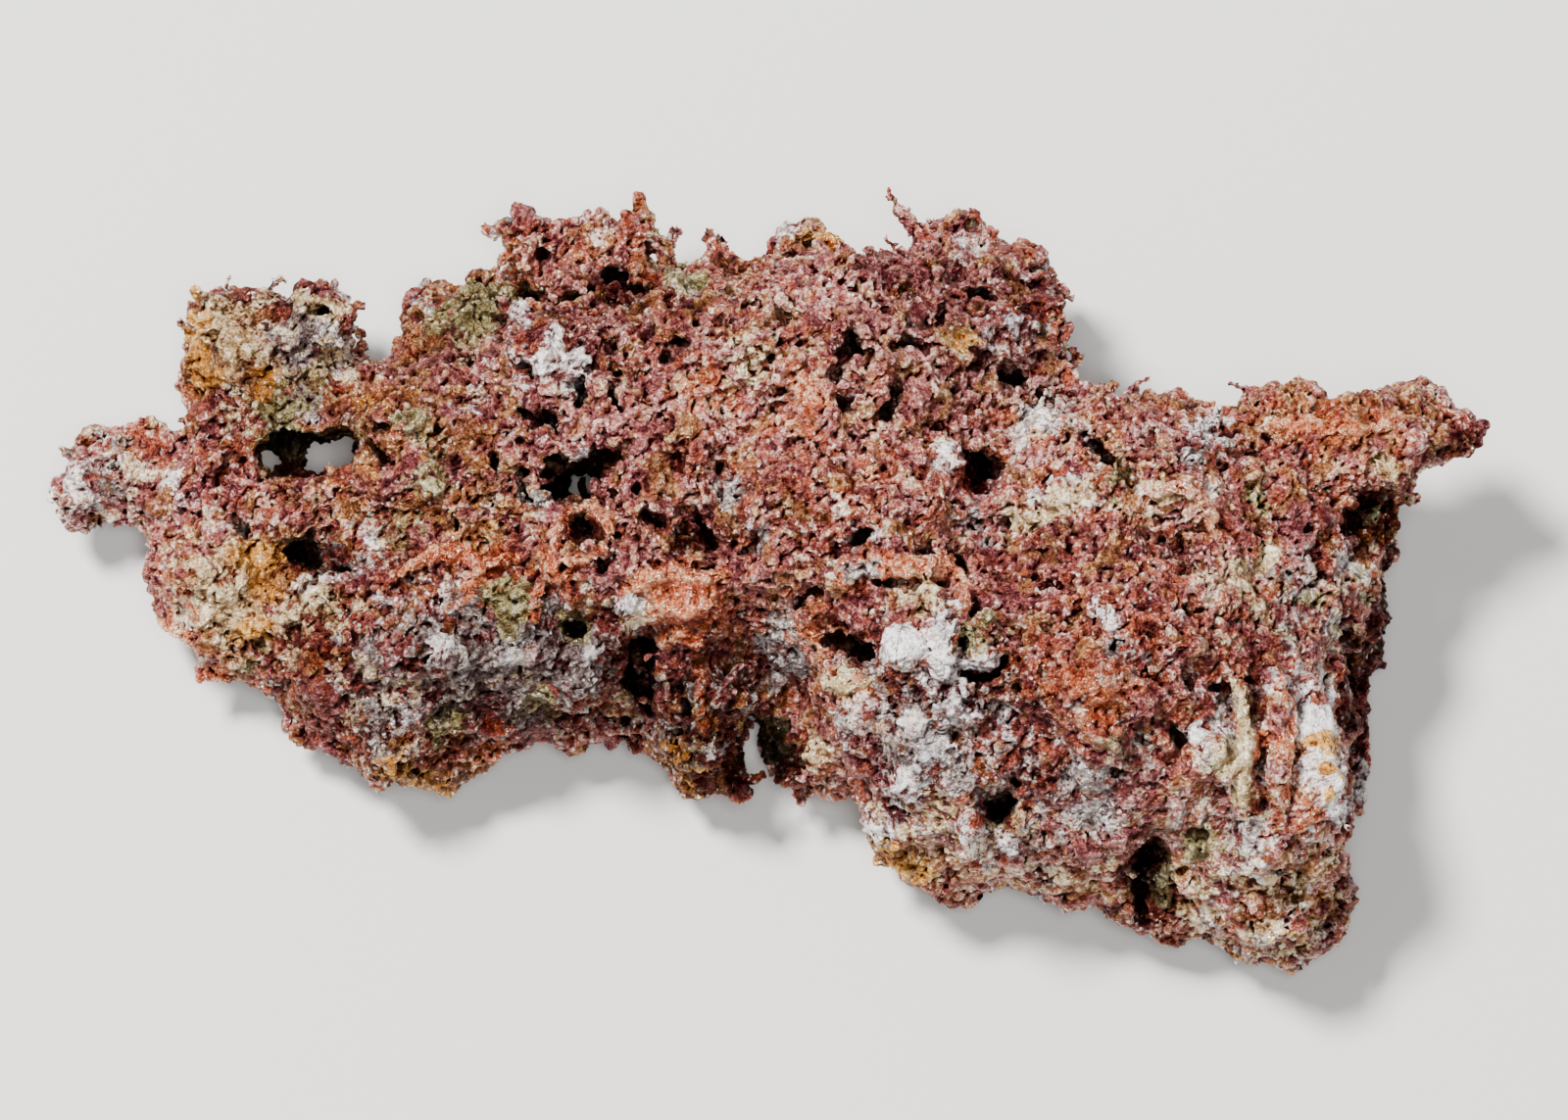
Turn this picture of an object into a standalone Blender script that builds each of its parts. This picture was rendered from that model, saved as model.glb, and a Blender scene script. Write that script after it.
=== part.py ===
"""Native copper nugget: one lump of copper sponge intergrown with quartz, lying on its broad back.

The nugget is a lumpy wedge, thin at the left and thick at the front right. Broad swells are fused
into a low dome, a thin slab carries its outline, and lumps, knobs and ribs stand on it. The skin is
roughened, sprigs are joined to it, and pits and two narrow holes are cut. The result is thinned to
a faceted solid and cut off level where it rests, on three patches of its back.
"""

import math

import bmesh
import bpy
from mathutils import Matrix, Vector
from mathutils.bvhtree import BVHTree

mm = 0.001

# Driving dimensions, in millimetres.
length = 80.0
coreBottom = 3.5
coreTop = 8.5
wingBottom = 11.5
wingTop = 16.5

# Lumps and pits are placed by lines that lean back from the vertical and cross the rim plane at (x, y).
sightLean = math.radians(12)
sightPlane = 6.0
lumpRoot = 1.0
holeReach = 30.0

# The skin: voxel size, rounds of smoothing, and the height and grain size of its three reliefs.
skinVoxel = 0.55
swellSmoothing = 24
skinSmoothing = 4
coarseRelief = 2.2
coarseSize = 4.5
middleRelief = 1.5
middleSize = 2.8
fineRelief = 0.9
fineSize = 1.3
sprigBeads = 5
triangleBudget = 9400

# The block below the ground that cuts the back level.
groundWidth = 200.0
groundDepth = 20.0

# The outline seen from above, clockwise from the tip of the left arm.
leftArm = [
    (-39.8, 4.4), (-39.3, 5.7), (-38.3, 6.2), (-38.1, 7.9), (-37.2, 8.8), (-36.4, 7.6), (-35.5, 7.4),
    (-34.7, 9.2), (-33.8, 9), (-32.9, 7.4), (-31.8, 7.6), (-30.4, 8.8),
]
backLeftLump = [
    (-31.4, 9.2), (-32.8, 10.8), (-32.8, 13), (-32.2, 15), (-31.2, 15.4), (-29, 15.2), (-27, 16),
    (-25.5, 16), (-24.3, 16.7), (-23, 15.8), (-22.2, 14), (-21.7, 11.8),
]
backRockLump = [
    (-20.2, 12), (-20, 14), (-20.7, 14.9), (-19.6, 15.8), (-18.2, 15.5), (-16.3, 16.4), (-14.8, 15.2),
]
backKnobs = [
    (-14.8, 17), (-14.6, 19.4), (-12.6, 19.4), (-11.6, 18.2), (-10.6, 19.4), (-9.6, 20.6), (-8.7, 20),
    (-8, 18.8), (-6.6, 19.2), (-6, 17.8),
]
backEdge = [
    (-4, 17.9), (-2.5, 18.6), (0, 18.4), (1, 17.8), (1.4, 19.5), (2.2, 19.5), (3, 18.9), (4.6, 19.1),
    (5.4, 17.4), (7.6, 17.2),
]
crown = [
    (8.7, 18), (9, 19.2), (12.3, 19.6), (12.9, 18), (16, 17.6), (17.4, 16.4), (17.9, 14.4),
    (17.7, 12.6), (17, 11), (17.4, 9.4),
]
shoulder = [(19.2, 8.9), (21, 8.5), (23.2, 8.1), (25, 7.6), (27, 6.8)]
rightFlank = [
    (36.6, 3), (35.8, 1.4), (35.4, 0.2), (35.7, -1.4), (35, -3.7), (34.7, -5.9), (34.2, -8.6),
    (33.7, -11), (33.8, -12.6), (33.1, -14.6), (33.2, -18.8),
]
frontRightBlock = [
    (32.6, -21), (31, -22.3), (28.6, -22.4), (26.8, -23), (25, -22.3), (23.2, -21.3), (21.6, -21.2),
    (20, -19.3), (17.3, -19.3), (15.4, -19), (13, -18.5), (10, -18.8), (7.6, -17.9), (5.9, -17.3),
    (5.5, -15.6), (4.3, -13.7),
]
frontEdge = [
    (3.8, -12.9), (1, -12.9), (-1.3, -13.7), (-3.4, -12.8), (-4.7, -12.9), (-5, -11.7), (-7, -10.6),
    (-7, -9.2), (-8.7, -9), (-10, -9.4), (-11.4, -9.6), (-12.4, -10.5), (-13.9, -10.5),
]
frontLeftLobe = [
    (-14.2, -11.6), (-16.2, -11.9), (-18.3, -13), (-20.3, -12.6), (-22.1, -12), (-23.3, -11),
    (-23.5, -9.4), (-26.3, -8.3), (-28.2, -7.3), (-29, -6.2), (-31, -6.1), (-30.3, -4.4),
]
leftLump = [
    (-31.8, -3), (-34.2, -1.9), (-33.8, -0.8), (-34.8, 1), (-34.8, 2.4), (-36.8, 2.6), (-37.8, 1.9),
    (-38.4, 3), (-39.6, 3.6),
]
coreOutline = (
    leftArm + backLeftLump + backRockLump + backKnobs + backEdge + crown + shoulder
    + rightFlank + frontRightBlock + frontEdge + frontLeftLobe + leftLump
)

# The right wing stands out higher up, clear of the ground.
wingOutline = [
    (26.4, 2), (26.6, 9), (28.8, 9.4), (30.6, 9.9), (32, 9.1), (33.4, 9.7), (35.5, 9.5), (37.8, 9.1),
    (38.8, 7.8), (39.8, 7.4), (39.9, 6.4), (39.2, 4.9), (38, 4.2), (36.6, 3), (35.6, 0.5),
]

# The broad swell of the body, as (x, y, z of the centre, then the half sizes along x, y and z).
swells = {
    "left arm": [(-35.6, 5.2, 6.2, 4.4, 2.6, 3.4)],
    "left lump": [(-30.2, 0, 6.6, 4.8, 4, 6.2)],
    "back left lump": [(-27.4, 12.2, 7.6, 5.4, 4.2, 5)],
    "rock lump": [(-17.5, 13, 6.8, 3.2, 3, 4.6)],
    "back knobs": [(-10.4, 16.2, 7, 4.2, 3, 4)],
    "left field": [(-25, 3.4, 6.8, 8, 5.6, 6), (-17, 5, 8.5, 8.6, 7.4, 8.6)],
    "front left lobe": [(-19.5, -4.6, 7.8, 8.4, 7, 8.2), (-12, -4, 8.5, 6, 6, 9)],
    "upper field": [(-5.6, 7.6, 10, 10, 9, 11), (4, 8.4, 10, 11, 9, 12), (2.5, 15, 8, 7, 4, 5)],
    "crown": [(12.4, 12.4, 9.4, 5.4, 6.4, 8.4)],
    "middle band": [
        (-6, 0, 10.4, 9, 7, 11), (5, 0, 11.4, 9, 7, 12), (-3.4, -8.2, 7, 3.6, 4, 6.6),
        (0.5, -9.6, 3.4, 4, 3.6, 3.4),
    ],
    "front right block": [
        (11, -8, 10.6, 8.4, 9.4, 12.6), (20, -7, 11, 10.6, 12, 14.4), (27.4, -11, 9.6, 6, 11, 12),
        (13, -13.6, 8, 8.4, 5, 9),
    ],
    "shoulder": [(20, 2, 11.4, 10, 6.8, 12), (29.4, -1, 10.6, 6, 7.4, 10)],
    "right wing": [(32.6, 5.8, 14, 6.4, 3.6, 5)],
    "feet": [
        (-20, -2, 4, 9, 7, 5.4), (-4, 5, 4.4, 11, 9, 5.8), (10, 5, 4.4, 9, 8, 5.8), (6, -5, 4, 8, 7, 5.2),
        (23, -9, 4.4, 9, 11, 5.6), (22, 1, 4.6, 9, 6, 5.2),
    ],
}

# Lumps, knobs and ribs that stand on the swell, as (x, y, half sizes along x and y, rise).
lumps = {
    "left arm": [(-37.2, 8.4, 1, 1.4, 1), (-34.2, 8.8, 1.3, 1.8, 1.2), (-38.4, 5, 2, 1.6, 1)],
    "left lump": [(-31.2, 0.6, 3, 2.6, 1.6), (-30, -3.6, 2.6, 2, 1.2)],
    "back left lump": [(-29.8, 14, 2.6, 2.4, 1.4), (-24.6, 14.6, 2.6, 2.4, 1.6), (-27.5, 11, 2, 1.8, 1)],
    "rock lump": [(-16.6, 16, 2.4, 1.8, 1.8), (-19.6, 16, 1.4, 1.2, 1)],
    "back knobs": [
        (-13.1, 19, 2, 2.2, 2), (-9.4, 20.4, 1.5, 1.8, 1.8), (-6.9, 19.2, 1.5, 1.7, 1.8),
        (-11.3, 17.4, 1.5, 1.2, 1.2),
    ],
    "left field": [
        (-18.5, 8, 2.4, 2, 1.2), (-12, 13, 3, 2.2, 1.8), (-22, 2, 2.4, 1.4, 1), (-24, 5, 2.4, 0.9, 1),
    ],
    "front left lobe": [
        (-17.5, -4.4, 3, 1.8, 1.6), (-24.4, -5.4, 2.2, 1.8, 1), (-20, -9.4, 2.4, 2.4, 1.6),
        (-9.8, -6, 1.5, 2.6, 1.6), (-12.8, -9.2, 1.6, 1.3, 1.2), (-14, 0.6, 1.8, 0.9, 1.2),
    ],
    "upper field": [
        (1.6, 20.2, 1.1, 1.2, 1.4), (4.2, 19.6, 1.5, 1.4, 1.6), (-2.6, 17, 2.2, 1, 1),
        (-4.5, 14.6, 2, 1, 1), (0, 12.4, 3, 1.8, 1.4), (-5.5, 7.5, 2.6, 1.8, 1.2),
        (8, 9.6, 3, 1.8, 1.2), (10.3, 7.3, 1.6, 1.2, 1),
    ],
    "crown": [
        (11, 19.4, 2, 1.5, 1.6), (15.4, 18.2, 2, 1.1, 1.2), (13.6, 14.4, 2, 1.4, 1.2),
        (16.4, 13, 1.2, 1.6, 1),
    ],
    "middle band": [
        (-3.6, -0.4, 3.2, 2.2, 1.2), (7.6, 0.8, 3.2, 0.8, 1.5), (-2.6, -9.6, 1.6, 2.4, 1.4),
        (-5.5, -9, 1.2, 1.6, 1),
    ],
    "big quartz lump": [(8.8, -3.2, 2.1, 2.9, 2.6), (12.2, -3.2, 1.1, 1.4, 1.6)],
    "front right block": [
        (18.4, -6, 3.2, 2.6, 1.4), (5, -7.4, 1.8, 2.4, 1.4), (8.6, -11.6, 2, 1.6, 1),
        (7.6, -14.6, 2.2, 1.5, 1.2), (13.4, -15, 1.8, 1.4, 1.4), (11.6, -13.8, 0.9, 1.4, 1.2),
        (24.6, -9.6, 0.9, 3, 1.6), (26.6, -9, 0.8, 4, 1.4), (28.4, -8.8, 1, 3.6, 1.2),
        (31.2, -10.5, 1.3, 4.6, 1.2), (27, -16.6, 2.4, 1, 1), (28, -20, 3.6, 1.4, 1.2),
        (24, -17.6, 1.6, 1.8, 1),
    ],
    "shoulder": [
        (23, 4.6, 2.4, 1.8, 1.4), (26.6, 2, 2.2, 0.9, 1), (20, 9, 1.6, 0.9, 1), (24.4, 8.4, 1.2, 0.8, 1.2),
        (19, -1.8, 1.3, 1, 1),
    ],
    "right wing": [
        (28, 9.6, 1.5, 1.3, 1.4), (33.2, 10, 1.8, 1.1, 1.2), (35, 7.6, 2.2, 1.4, 1),
        (38.6, 7.2, 1.4, 1.4, 1),
    ],
}

# Open pits in the upper face, as (x, y, half sizes along x and y, depth).
pits = [
    (-7.6, 16.2, 2.4, 1.1, 5), (-12.6, 15.4, 1.3, 0.9, 4), (-25.2, 1.2, 1.6, 0.9, 4),
    (-8, 12.2, 0.8, 1.2, 3), (-11.6, 8.7, 1, 0.8, 3), (1.2, 14.6, 1.3, 0.8, 3), (5.2, 12, 1, 1.6, 3.6),
    (9, 14.8, 1.8, 0.8, 3.6), (14.1, 12, 0.9, 0.9, 3.4), (14.4, 16.7, 1.3, 0.8, 3),
    (-9.8, 2.6, 1.1, 1, 4), (-4, 2.7, 1.2, 0.9, 3.6), (2.5, -0.7, 0.8, 0.9, 3),
    (-6.5, -5, 1, 2.5, 7), (5.9, -4.4, 1, 1.3, 5), (8.2, -5.9, 1.6, 0.8, 3), (0.2, -9.9, 1.8, 2.3, 4),
    (12.8, -12.7, 0.9, 1.1, 3.6), (-17.3, -7.8, 0.9, 1.4, 3), (-10.4, -3.2, 1, 1.1, 2.6),
    (12.6, 5.8, 0.9, 1.3, 4), (19.9, 6.6, 0.8, 1, 3), (22.6, 1, 1.5, 0.8, 3), (21.4, 3, 0.9, 0.7, 3),
    (30.3, 4.3, 0.7, 1, 3), (23.6, -5.4, 0.7, 1.3, 3), (21.3, -16, 1, 2.3, 7), (21.8, -19.2, 0.9, 0.8, 3),
    (25.6, -8, 0.6, 3.4, 2.6), (32.8, -6, 0.8, 3, 2.6), (33.5, 3.4, 1.8, 0.9, 3.6),
]

# Holes right through, as (x, y, half sizes along x and y): two beside each other, one in the middle.
holes = [(-26.8, 6.5, 1.5, 1.2), (-24.2, 6.4, 2, 1.1), (-22.8, 7.2, 1, 1), (-9.8, 5, 2, 1.3)]

# Undersides that stand clear of the ground, scooped out as (x, y, z, half sizes).
hollows = [
    (-28, 10.5, 0.6, 9, 7, 3.6), (-37, 6, 0, 5, 6, 3.6), (-15, 17.5, 0.4, 7, 4.6, 3.8),
    (35, 6.5, 2.4, 7, 6, 7.4), (2, 20, 0, 9, 4, 3.6), (15, 20.5, 0, 7, 3.6, 4),
]

# Thin sprigs as chains of points with a radius: (x, y, z, radius).
sprigs = [
    [(-14, 18.6, 8, 0.9), (-13.9, 19.9, 9, 0.8), (-13.1, 20.5, 9.5, 0.7)],
    [(-6.8, 18.4, 8, 0.9), (-6.9, 20, 9, 0.8), (-7.1, 21.3, 9.5, 0.7)],
    [(-6.9, 20, 9, 0.7), (-5.9, 20.6, 9.2, 0.6)],
    [(-5.6, 17, 8, 0.7), (-5.2, 19, 8.6, 0.6)],
    [(9.4, 18.2, 10, 0.9), (8.3, 19.3, 10.5, 0.8), (7.5, 19.9, 11, 0.7), (7.1, 21, 11, 0.7)],
    [(11, 18.8, 10, 0.8), (11, 20, 10.4, 0.6)],
    [(12, 18.6, 10, 0.8), (12.4, 20.1, 10.4, 0.7)],
    [(-2.6, 18, 9, 0.8), (-3.2, 19, 9.2, 0.6)],
    [(17, 9.4, 12, 0.8), (17.2, 10.2, 12.2, 0.6)],
    [(-30.6, -5, 5, 1), (-31, -6, 5, 0.8)],
]


def clearScene():
    for found in list(bpy.data.objects):
        bpy.data.objects.remove(found, do_unlink=True)


def newCollection(name):
    collection = bpy.data.collections.new(name)
    bpy.context.scene.collection.children.link(collection)
    return collection


def copperMaterial():
    material = bpy.data.materials.new("native_copper")
    material.use_nodes = True
    shader = material.node_tree.nodes["Principled BSDF"]
    shader.inputs["Base Color"].default_value = (0.52, 0.22, 0.15, 1)
    shader.inputs["Metallic"].default_value = 0.6
    shader.inputs["Roughness"].default_value = 0.5
    material.diffuse_color = (0.52, 0.22, 0.15, 1)
    return material


def addEllipsoid(bm, x, y, z, rx, ry, rz, lean=0.0):
    place = Matrix.Translation(Vector((x, y, z)) * mm) @ Matrix.Rotation(lean, 4, "X")
    bmesh.ops.create_icosphere(
        bm, subdivisions=3, radius=mm, matrix=place @ Matrix.Diagonal((rx, ry, rz, 1))
    )


def addSprig(bm, chain):
    """Overlapping beads along each leg of the chain."""
    for start, end in zip(chain, chain[1:]):
        for bead in range(sprigBeads + 1):
            x, y, z, radius = Vector(start).lerp(Vector(end), bead / sprigBeads)
            addEllipsoid(bm, x, y, z, radius, radius, radius)


def meshObject(name, bm, collection):
    mesh = bpy.data.meshes.new(name)
    bm.to_mesh(mesh)
    bm.free()
    made = bpy.data.objects.new(name, mesh)
    collection.objects.link(made)
    return made


def surfacePoint(tree, x, y):
    """Where the leaning line through (x, y) on the rim plane meets the skin from above, in millimetres."""
    down = Vector((0, math.sin(sightLean), -math.cos(sightLean)))
    onPlane = Vector((x, y, sightPlane))
    hit = tree.ray_cast((onPlane - down * 2 * length) * mm, down)[0]
    return hit / mm if hit else onPlane


def addLump(bm, tree, x, y, rx, ry, rise):
    foot = surfacePoint(tree, x, y)
    addEllipsoid(bm, foot.x, foot.y, foot.z - lumpRoot, rx, ry, rise + lumpRoot, sightLean)


def addPit(bm, tree, x, y, rx, ry, depth):
    mouth = surfacePoint(tree, x, y)
    addEllipsoid(bm, *mouth, rx, ry, depth, sightLean)


def slabObject(name, outline, bottom, top, collection):
    """An outline as a filled curve, extruded both ways from its middle height."""
    curve = bpy.data.curves.new(name, "CURVE")
    curve.dimensions = "2D"
    curve.fill_mode = "BOTH"
    curve.extrude = (top - bottom) / 2 * mm
    spline = curve.splines.new("POLY")
    spline.points.add(len(outline) - 1)
    for point, (x, y) in zip(spline.points, outline):
        point.co = (x * mm, y * mm, 0, 1)
    spline.use_cyclic_u = True
    slab = bpy.data.objects.new(name, curve)
    slab.location.z = (top + bottom) / 2 * mm
    collection.objects.link(slab)
    return slab


def evaluatedMesh(source):
    bpy.context.view_layer.update()
    graph = bpy.context.evaluated_depsgraph_get()
    mesh = bpy.data.meshes.new_from_object(source.evaluated_get(graph))
    mesh.transform(source.matrix_world)
    return mesh


def swellMesh(collection):
    """The broad body: overlapping swells fused and smoothed into one low dome."""
    bm = bmesh.new()
    for group in swells.values():
        for swell in group:
            addEllipsoid(bm, *swell)
    swell = meshObject("swell", bm, collection)
    addRemesh(swell, skinVoxel)
    addSmoothing(swell, swellSmoothing)
    mesh = evaluatedMesh(swell)
    bpy.data.objects.remove(swell)
    return mesh


def bodyMesh(collection):
    """Slabs, swell and lumps as overlapping closed shells in one mesh."""
    bm = bmesh.new()
    slabs = [
        slabObject("core_outline", coreOutline, coreBottom, coreTop, collection),
        slabObject("wing_outline", wingOutline, wingBottom, wingTop, collection),
    ]
    for slab in slabs:
        bm.from_mesh(evaluatedMesh(slab))
        bpy.data.objects.remove(slab)
    bmesh.ops.remove_doubles(bm, verts=bm.verts, dist=0.001 * mm)
    bmesh.ops.recalc_face_normals(bm, faces=bm.faces)
    bm.from_mesh(swellMesh(collection))
    tree = BVHTree.FromBMesh(bm)
    for group in lumps.values():
        for lump in group:
            addLump(bm, tree, *lump)
    return bm


def addSprigs(body):
    """Join the sprigs to the roughened skin, which would lose such thin stems."""
    bm = bmesh.new()
    bm.from_mesh(evaluatedMesh(body))
    for chain in sprigs:
        addSprig(bm, chain)
    body.modifiers.clear()
    bm.to_mesh(body.data)
    bm.free()


def hideCutter(cutter):
    cutter.hide_render = True
    cutter.display_type = "WIRE"


def addRemesh(target, voxel):
    remesh = target.modifiers.new("fuse", "REMESH")
    remesh.mode = "VOXEL"
    remesh.voxel_size = voxel * mm


def addCut(target, cutter):
    cut = target.modifiers.new("cut " + cutter.name, "BOOLEAN")
    cut.operation = "DIFFERENCE"
    cut.solver = "EXACT"
    cut.use_self = True
    cut.object = cutter


def addRelief(target, name, kind, size, height):
    texture = bpy.data.textures.new(name, kind)
    texture.noise_scale = size * mm
    relief = target.modifiers.new(name, "DISPLACE")
    relief.texture = texture
    relief.texture_coords = "LOCAL"
    relief.strength = height * mm
    relief.mid_level = 0.5


def addSmoothing(target, rounds):
    smooth = target.modifiers.new("soften", "SMOOTH")
    smooth.factor = 0.5
    smooth.iterations = rounds


def addDecimate(target, triangles):
    have = len(evaluatedMesh(target).polygons) * 2
    thin = target.modifiers.new("thin", "DECIMATE")
    thin.ratio = triangles / have
    thin.use_collapse_triangulate = True


def biggestBody(mesh):
    """Keep the largest connected shell of a mesh."""
    bm = bmesh.new()
    bm.from_mesh(mesh)
    left = set(bm.verts)
    shells = []
    while left:
        start = left.pop()
        shell = {start}
        edge = [start]
        while edge:
            for link in edge.pop().link_edges:
                for vert in link.verts:
                    if vert not in shell:
                        shell.add(vert)
                        edge.append(vert)
        left -= shell
        shells.append(shell)
    keep = max(shells, key=len)
    bmesh.ops.delete(bm, geom=[v for v in bm.verts if v not in keep], context="VERTS")
    bm.to_mesh(mesh)
    bm.free()


def fitToLength(mesh):
    """Scale the nugget to its real length and put the middle of its footprint over the origin."""
    xs = [v.co.x for v in mesh.vertices]
    ys = [v.co.y for v in mesh.vertices]
    middle = Vector(((min(xs) + max(xs)) / 2, (min(ys) + max(ys)) / 2, 0))
    scale = length * mm / (max(xs) - min(xs))
    mesh.transform(Matrix.Scale(scale, 4) @ Matrix.Translation(-middle))


def groundCutter(collection):
    bm = bmesh.new()
    place = Matrix.Translation((0, 0, -groundDepth / 2 * mm))
    size = Matrix.Diagonal((groundWidth * mm, groundWidth * mm, groundDepth * mm, 1))
    bmesh.ops.create_cube(bm, size=1, matrix=place @ size)
    ground = meshObject("ground_cutter", bm, collection)
    hideCutter(ground)
    return ground


def pitCutter(collection, body):
    skin = bmesh.new()
    skin.from_mesh(evaluatedMesh(body))
    tree = BVHTree.FromBMesh(skin)
    skin.free()
    bm = bmesh.new()
    for pit in pits:
        addPit(bm, tree, *pit)
    for hole in holes:
        addPit(bm, tree, *hole, holeReach)
    for hollow in hollows:
        addEllipsoid(bm, *hollow)
    cutter = meshObject("pit_cutter", bm, collection)
    addRemesh(cutter, skinVoxel)
    hideCutter(cutter)
    return cutter


def buildNugget():
    clearScene()
    parts = newCollection("copper_nugget")
    cutters = newCollection("cutters")
    body = meshObject("copper_nugget", bodyMesh(parts), parts)
    addRemesh(body, skinVoxel)
    addSmoothing(body, skinSmoothing)
    addRelief(body, "coarse relief", "CLOUDS", coarseSize, coarseRelief)
    addRelief(body, "middle relief", "DISTORTED_NOISE", middleSize, middleRelief)
    addRelief(body, "fine relief", "VORONOI", fineSize, -fineRelief)
    addSprigs(body)
    addRemesh(body, skinVoxel)
    addCut(body, pitCutter(cutters, body))
    addRemesh(body, skinVoxel)
    mesh = evaluatedMesh(body)
    biggestBody(mesh)
    fitToLength(mesh)
    body.modifiers.clear()
    body.data = mesh
    addDecimate(body, triangleBudget)
    addCut(body, groundCutter(cutters))
    body.data.materials.append(copperMaterial())


buildNugget()
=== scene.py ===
import math
import random

import bmesh
import bpy
from mathutils import Matrix, Vector, noise
from mathutils.bvhtree import BVHTree


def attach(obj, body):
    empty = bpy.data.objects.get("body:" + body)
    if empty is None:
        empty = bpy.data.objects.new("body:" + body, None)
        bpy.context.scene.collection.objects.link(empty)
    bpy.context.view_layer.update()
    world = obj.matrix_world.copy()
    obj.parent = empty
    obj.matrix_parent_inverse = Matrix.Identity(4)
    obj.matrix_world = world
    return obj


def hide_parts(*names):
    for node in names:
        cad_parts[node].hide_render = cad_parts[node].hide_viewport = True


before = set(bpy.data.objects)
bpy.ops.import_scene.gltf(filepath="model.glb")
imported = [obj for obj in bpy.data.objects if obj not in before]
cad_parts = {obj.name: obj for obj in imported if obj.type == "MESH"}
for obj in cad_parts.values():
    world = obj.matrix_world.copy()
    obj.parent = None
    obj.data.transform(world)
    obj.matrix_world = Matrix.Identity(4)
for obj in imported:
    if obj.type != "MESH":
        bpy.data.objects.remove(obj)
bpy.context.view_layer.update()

mm = 0.001

# The camera looks down, leaning back by so many degrees. The x and y of every feature below are mm
# on the plane that faces it through the aim.
view = {
    "lean": 12,
    "aim": (0, 0, 6),
    "offset": (1.375, 1.13),  # from the aim to the middle of the frame, in mm across and up
    "width": 88,
    "lens": 250,
    "sensor": 36,
}
lean = math.radians(view["lean"])
sight = Vector((0, -math.sin(lean), math.cos(lean)))
across = Vector((1, 0, 0))
upward = Vector((0, math.cos(lean), math.sin(lean)))
aim = Vector(view["aim"])


def onPlane(x, y):
    return aim + across * x + upward * y


def seenAt(place):
    # where a point in mm falls on the plane of sight: across, up and towards the eye
    away = place - aim
    return away.dot(across), away.dot(upward), away.dot(sight)


def linked(name, data):
    made = bpy.data.objects.new(name, data)
    bpy.context.scene.collection.objects.link(made)
    return made


def buildCamera():
    lens = bpy.data.cameras.new("camera")
    lens.lens = view["lens"]
    lens.sensor_width = view["sensor"]
    lens.clip_start = 0.01
    lens.clip_end = 10
    camera = linked("camera", lens)
    away = view["width"] * view["lens"] / view["sensor"]
    camera.location = (onPlane(*view["offset"]) + sight * away) * mm
    camera.rotation_euler = (lean, 0, 0)
    bpy.context.scene.camera = camera


def addNode(tree, kind, links=None, **settings):
    node = tree.nodes.new(kind)
    for name, value in settings.items():
        setattr(node, name, value)
    for key, value in (links or {}).items():
        if isinstance(value, bpy.types.NodeSocket):
            tree.links.new(value, node.inputs[key])
        else:
            node.inputs[key].default_value = value
    return node


def calc(tree, operation, first, second=0.0, third=0.0):
    links = {0: first, 1: second, 2: third}
    return addNode(tree, "ShaderNodeMath", links, operation=operation).outputs[0]


def times(tree, first, second):
    return calc(tree, "MULTIPLY", first, second)


def larger(tree, first, second):
    return calc(tree, "MAXIMUM", first, second)


def weighted(tree, *terms):
    # the sum of (value, weight) pairs and plain numbers
    total = 0.0
    for term in terms:
        if isinstance(term, tuple):
            total = calc(tree, "MULTIPLY_ADD", term[0], term[1], total)
        else:
            total = calc(tree, "ADD", total, term)
    return total


def rise(tree, value, low, high, soft=True):
    # 0 below low, 1 above high
    links = {"Value": value, "From Min": low, "From Max": high}
    kind = "SMOOTHSTEP" if soft else "LINEAR"
    return addNode(tree, "ShaderNodeMapRange", links, interpolation_type=kind).outputs[0]


def vectorMath(tree, operation, first, second=(0, 0, 0), output="Vector"):
    links = {0: first, 1: second}
    return addNode(tree, "ShaderNodeVectorMath", links, operation=operation).outputs[output]


def scaled(tree, vector, factor):
    links = {0: vector, "Scale": factor}
    return addNode(tree, "ShaderNodeVectorMath", links, operation="SCALE").outputs[0]


def split(tree, vector):
    return addNode(tree, "ShaderNodeSeparateXYZ", {0: vector}).outputs


def noiseNode(tree, place, size, detail, roughness=0.5):
    links = {"Vector": place, "Scale": 1 / size, "Detail": detail, "Roughness": roughness}
    return addNode(tree, "ShaderNodeTexNoise", links)


def cloud(tree, place, size, detail=1.0, roughness=0.5):
    return noiseNode(tree, place, size, detail, roughness).outputs[0]


def warped(tree, place, size, amount, detail=1.0):
    # the same place pushed about by a noise of that size, both in mm
    push = noiseNode(tree, place, size, detail).outputs["Color"]
    push = vectorMath(tree, "SUBTRACT", push, (0.5, 0.5, 0.5))
    return vectorMath(tree, "ADD", place, scaled(tree, push, amount * 2))


def cells(tree, place, size, distance="EUCLIDEAN"):
    links = {"Vector": place, "Scale": 1 / size}
    return addNode(tree, "ShaderNodeTexVoronoi", links, distance=distance)


skin = {"voxel": 0.45, "smoothing": 3, "shadeRays": 14, "raySeed": 55, "shadeReach": 6}

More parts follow.
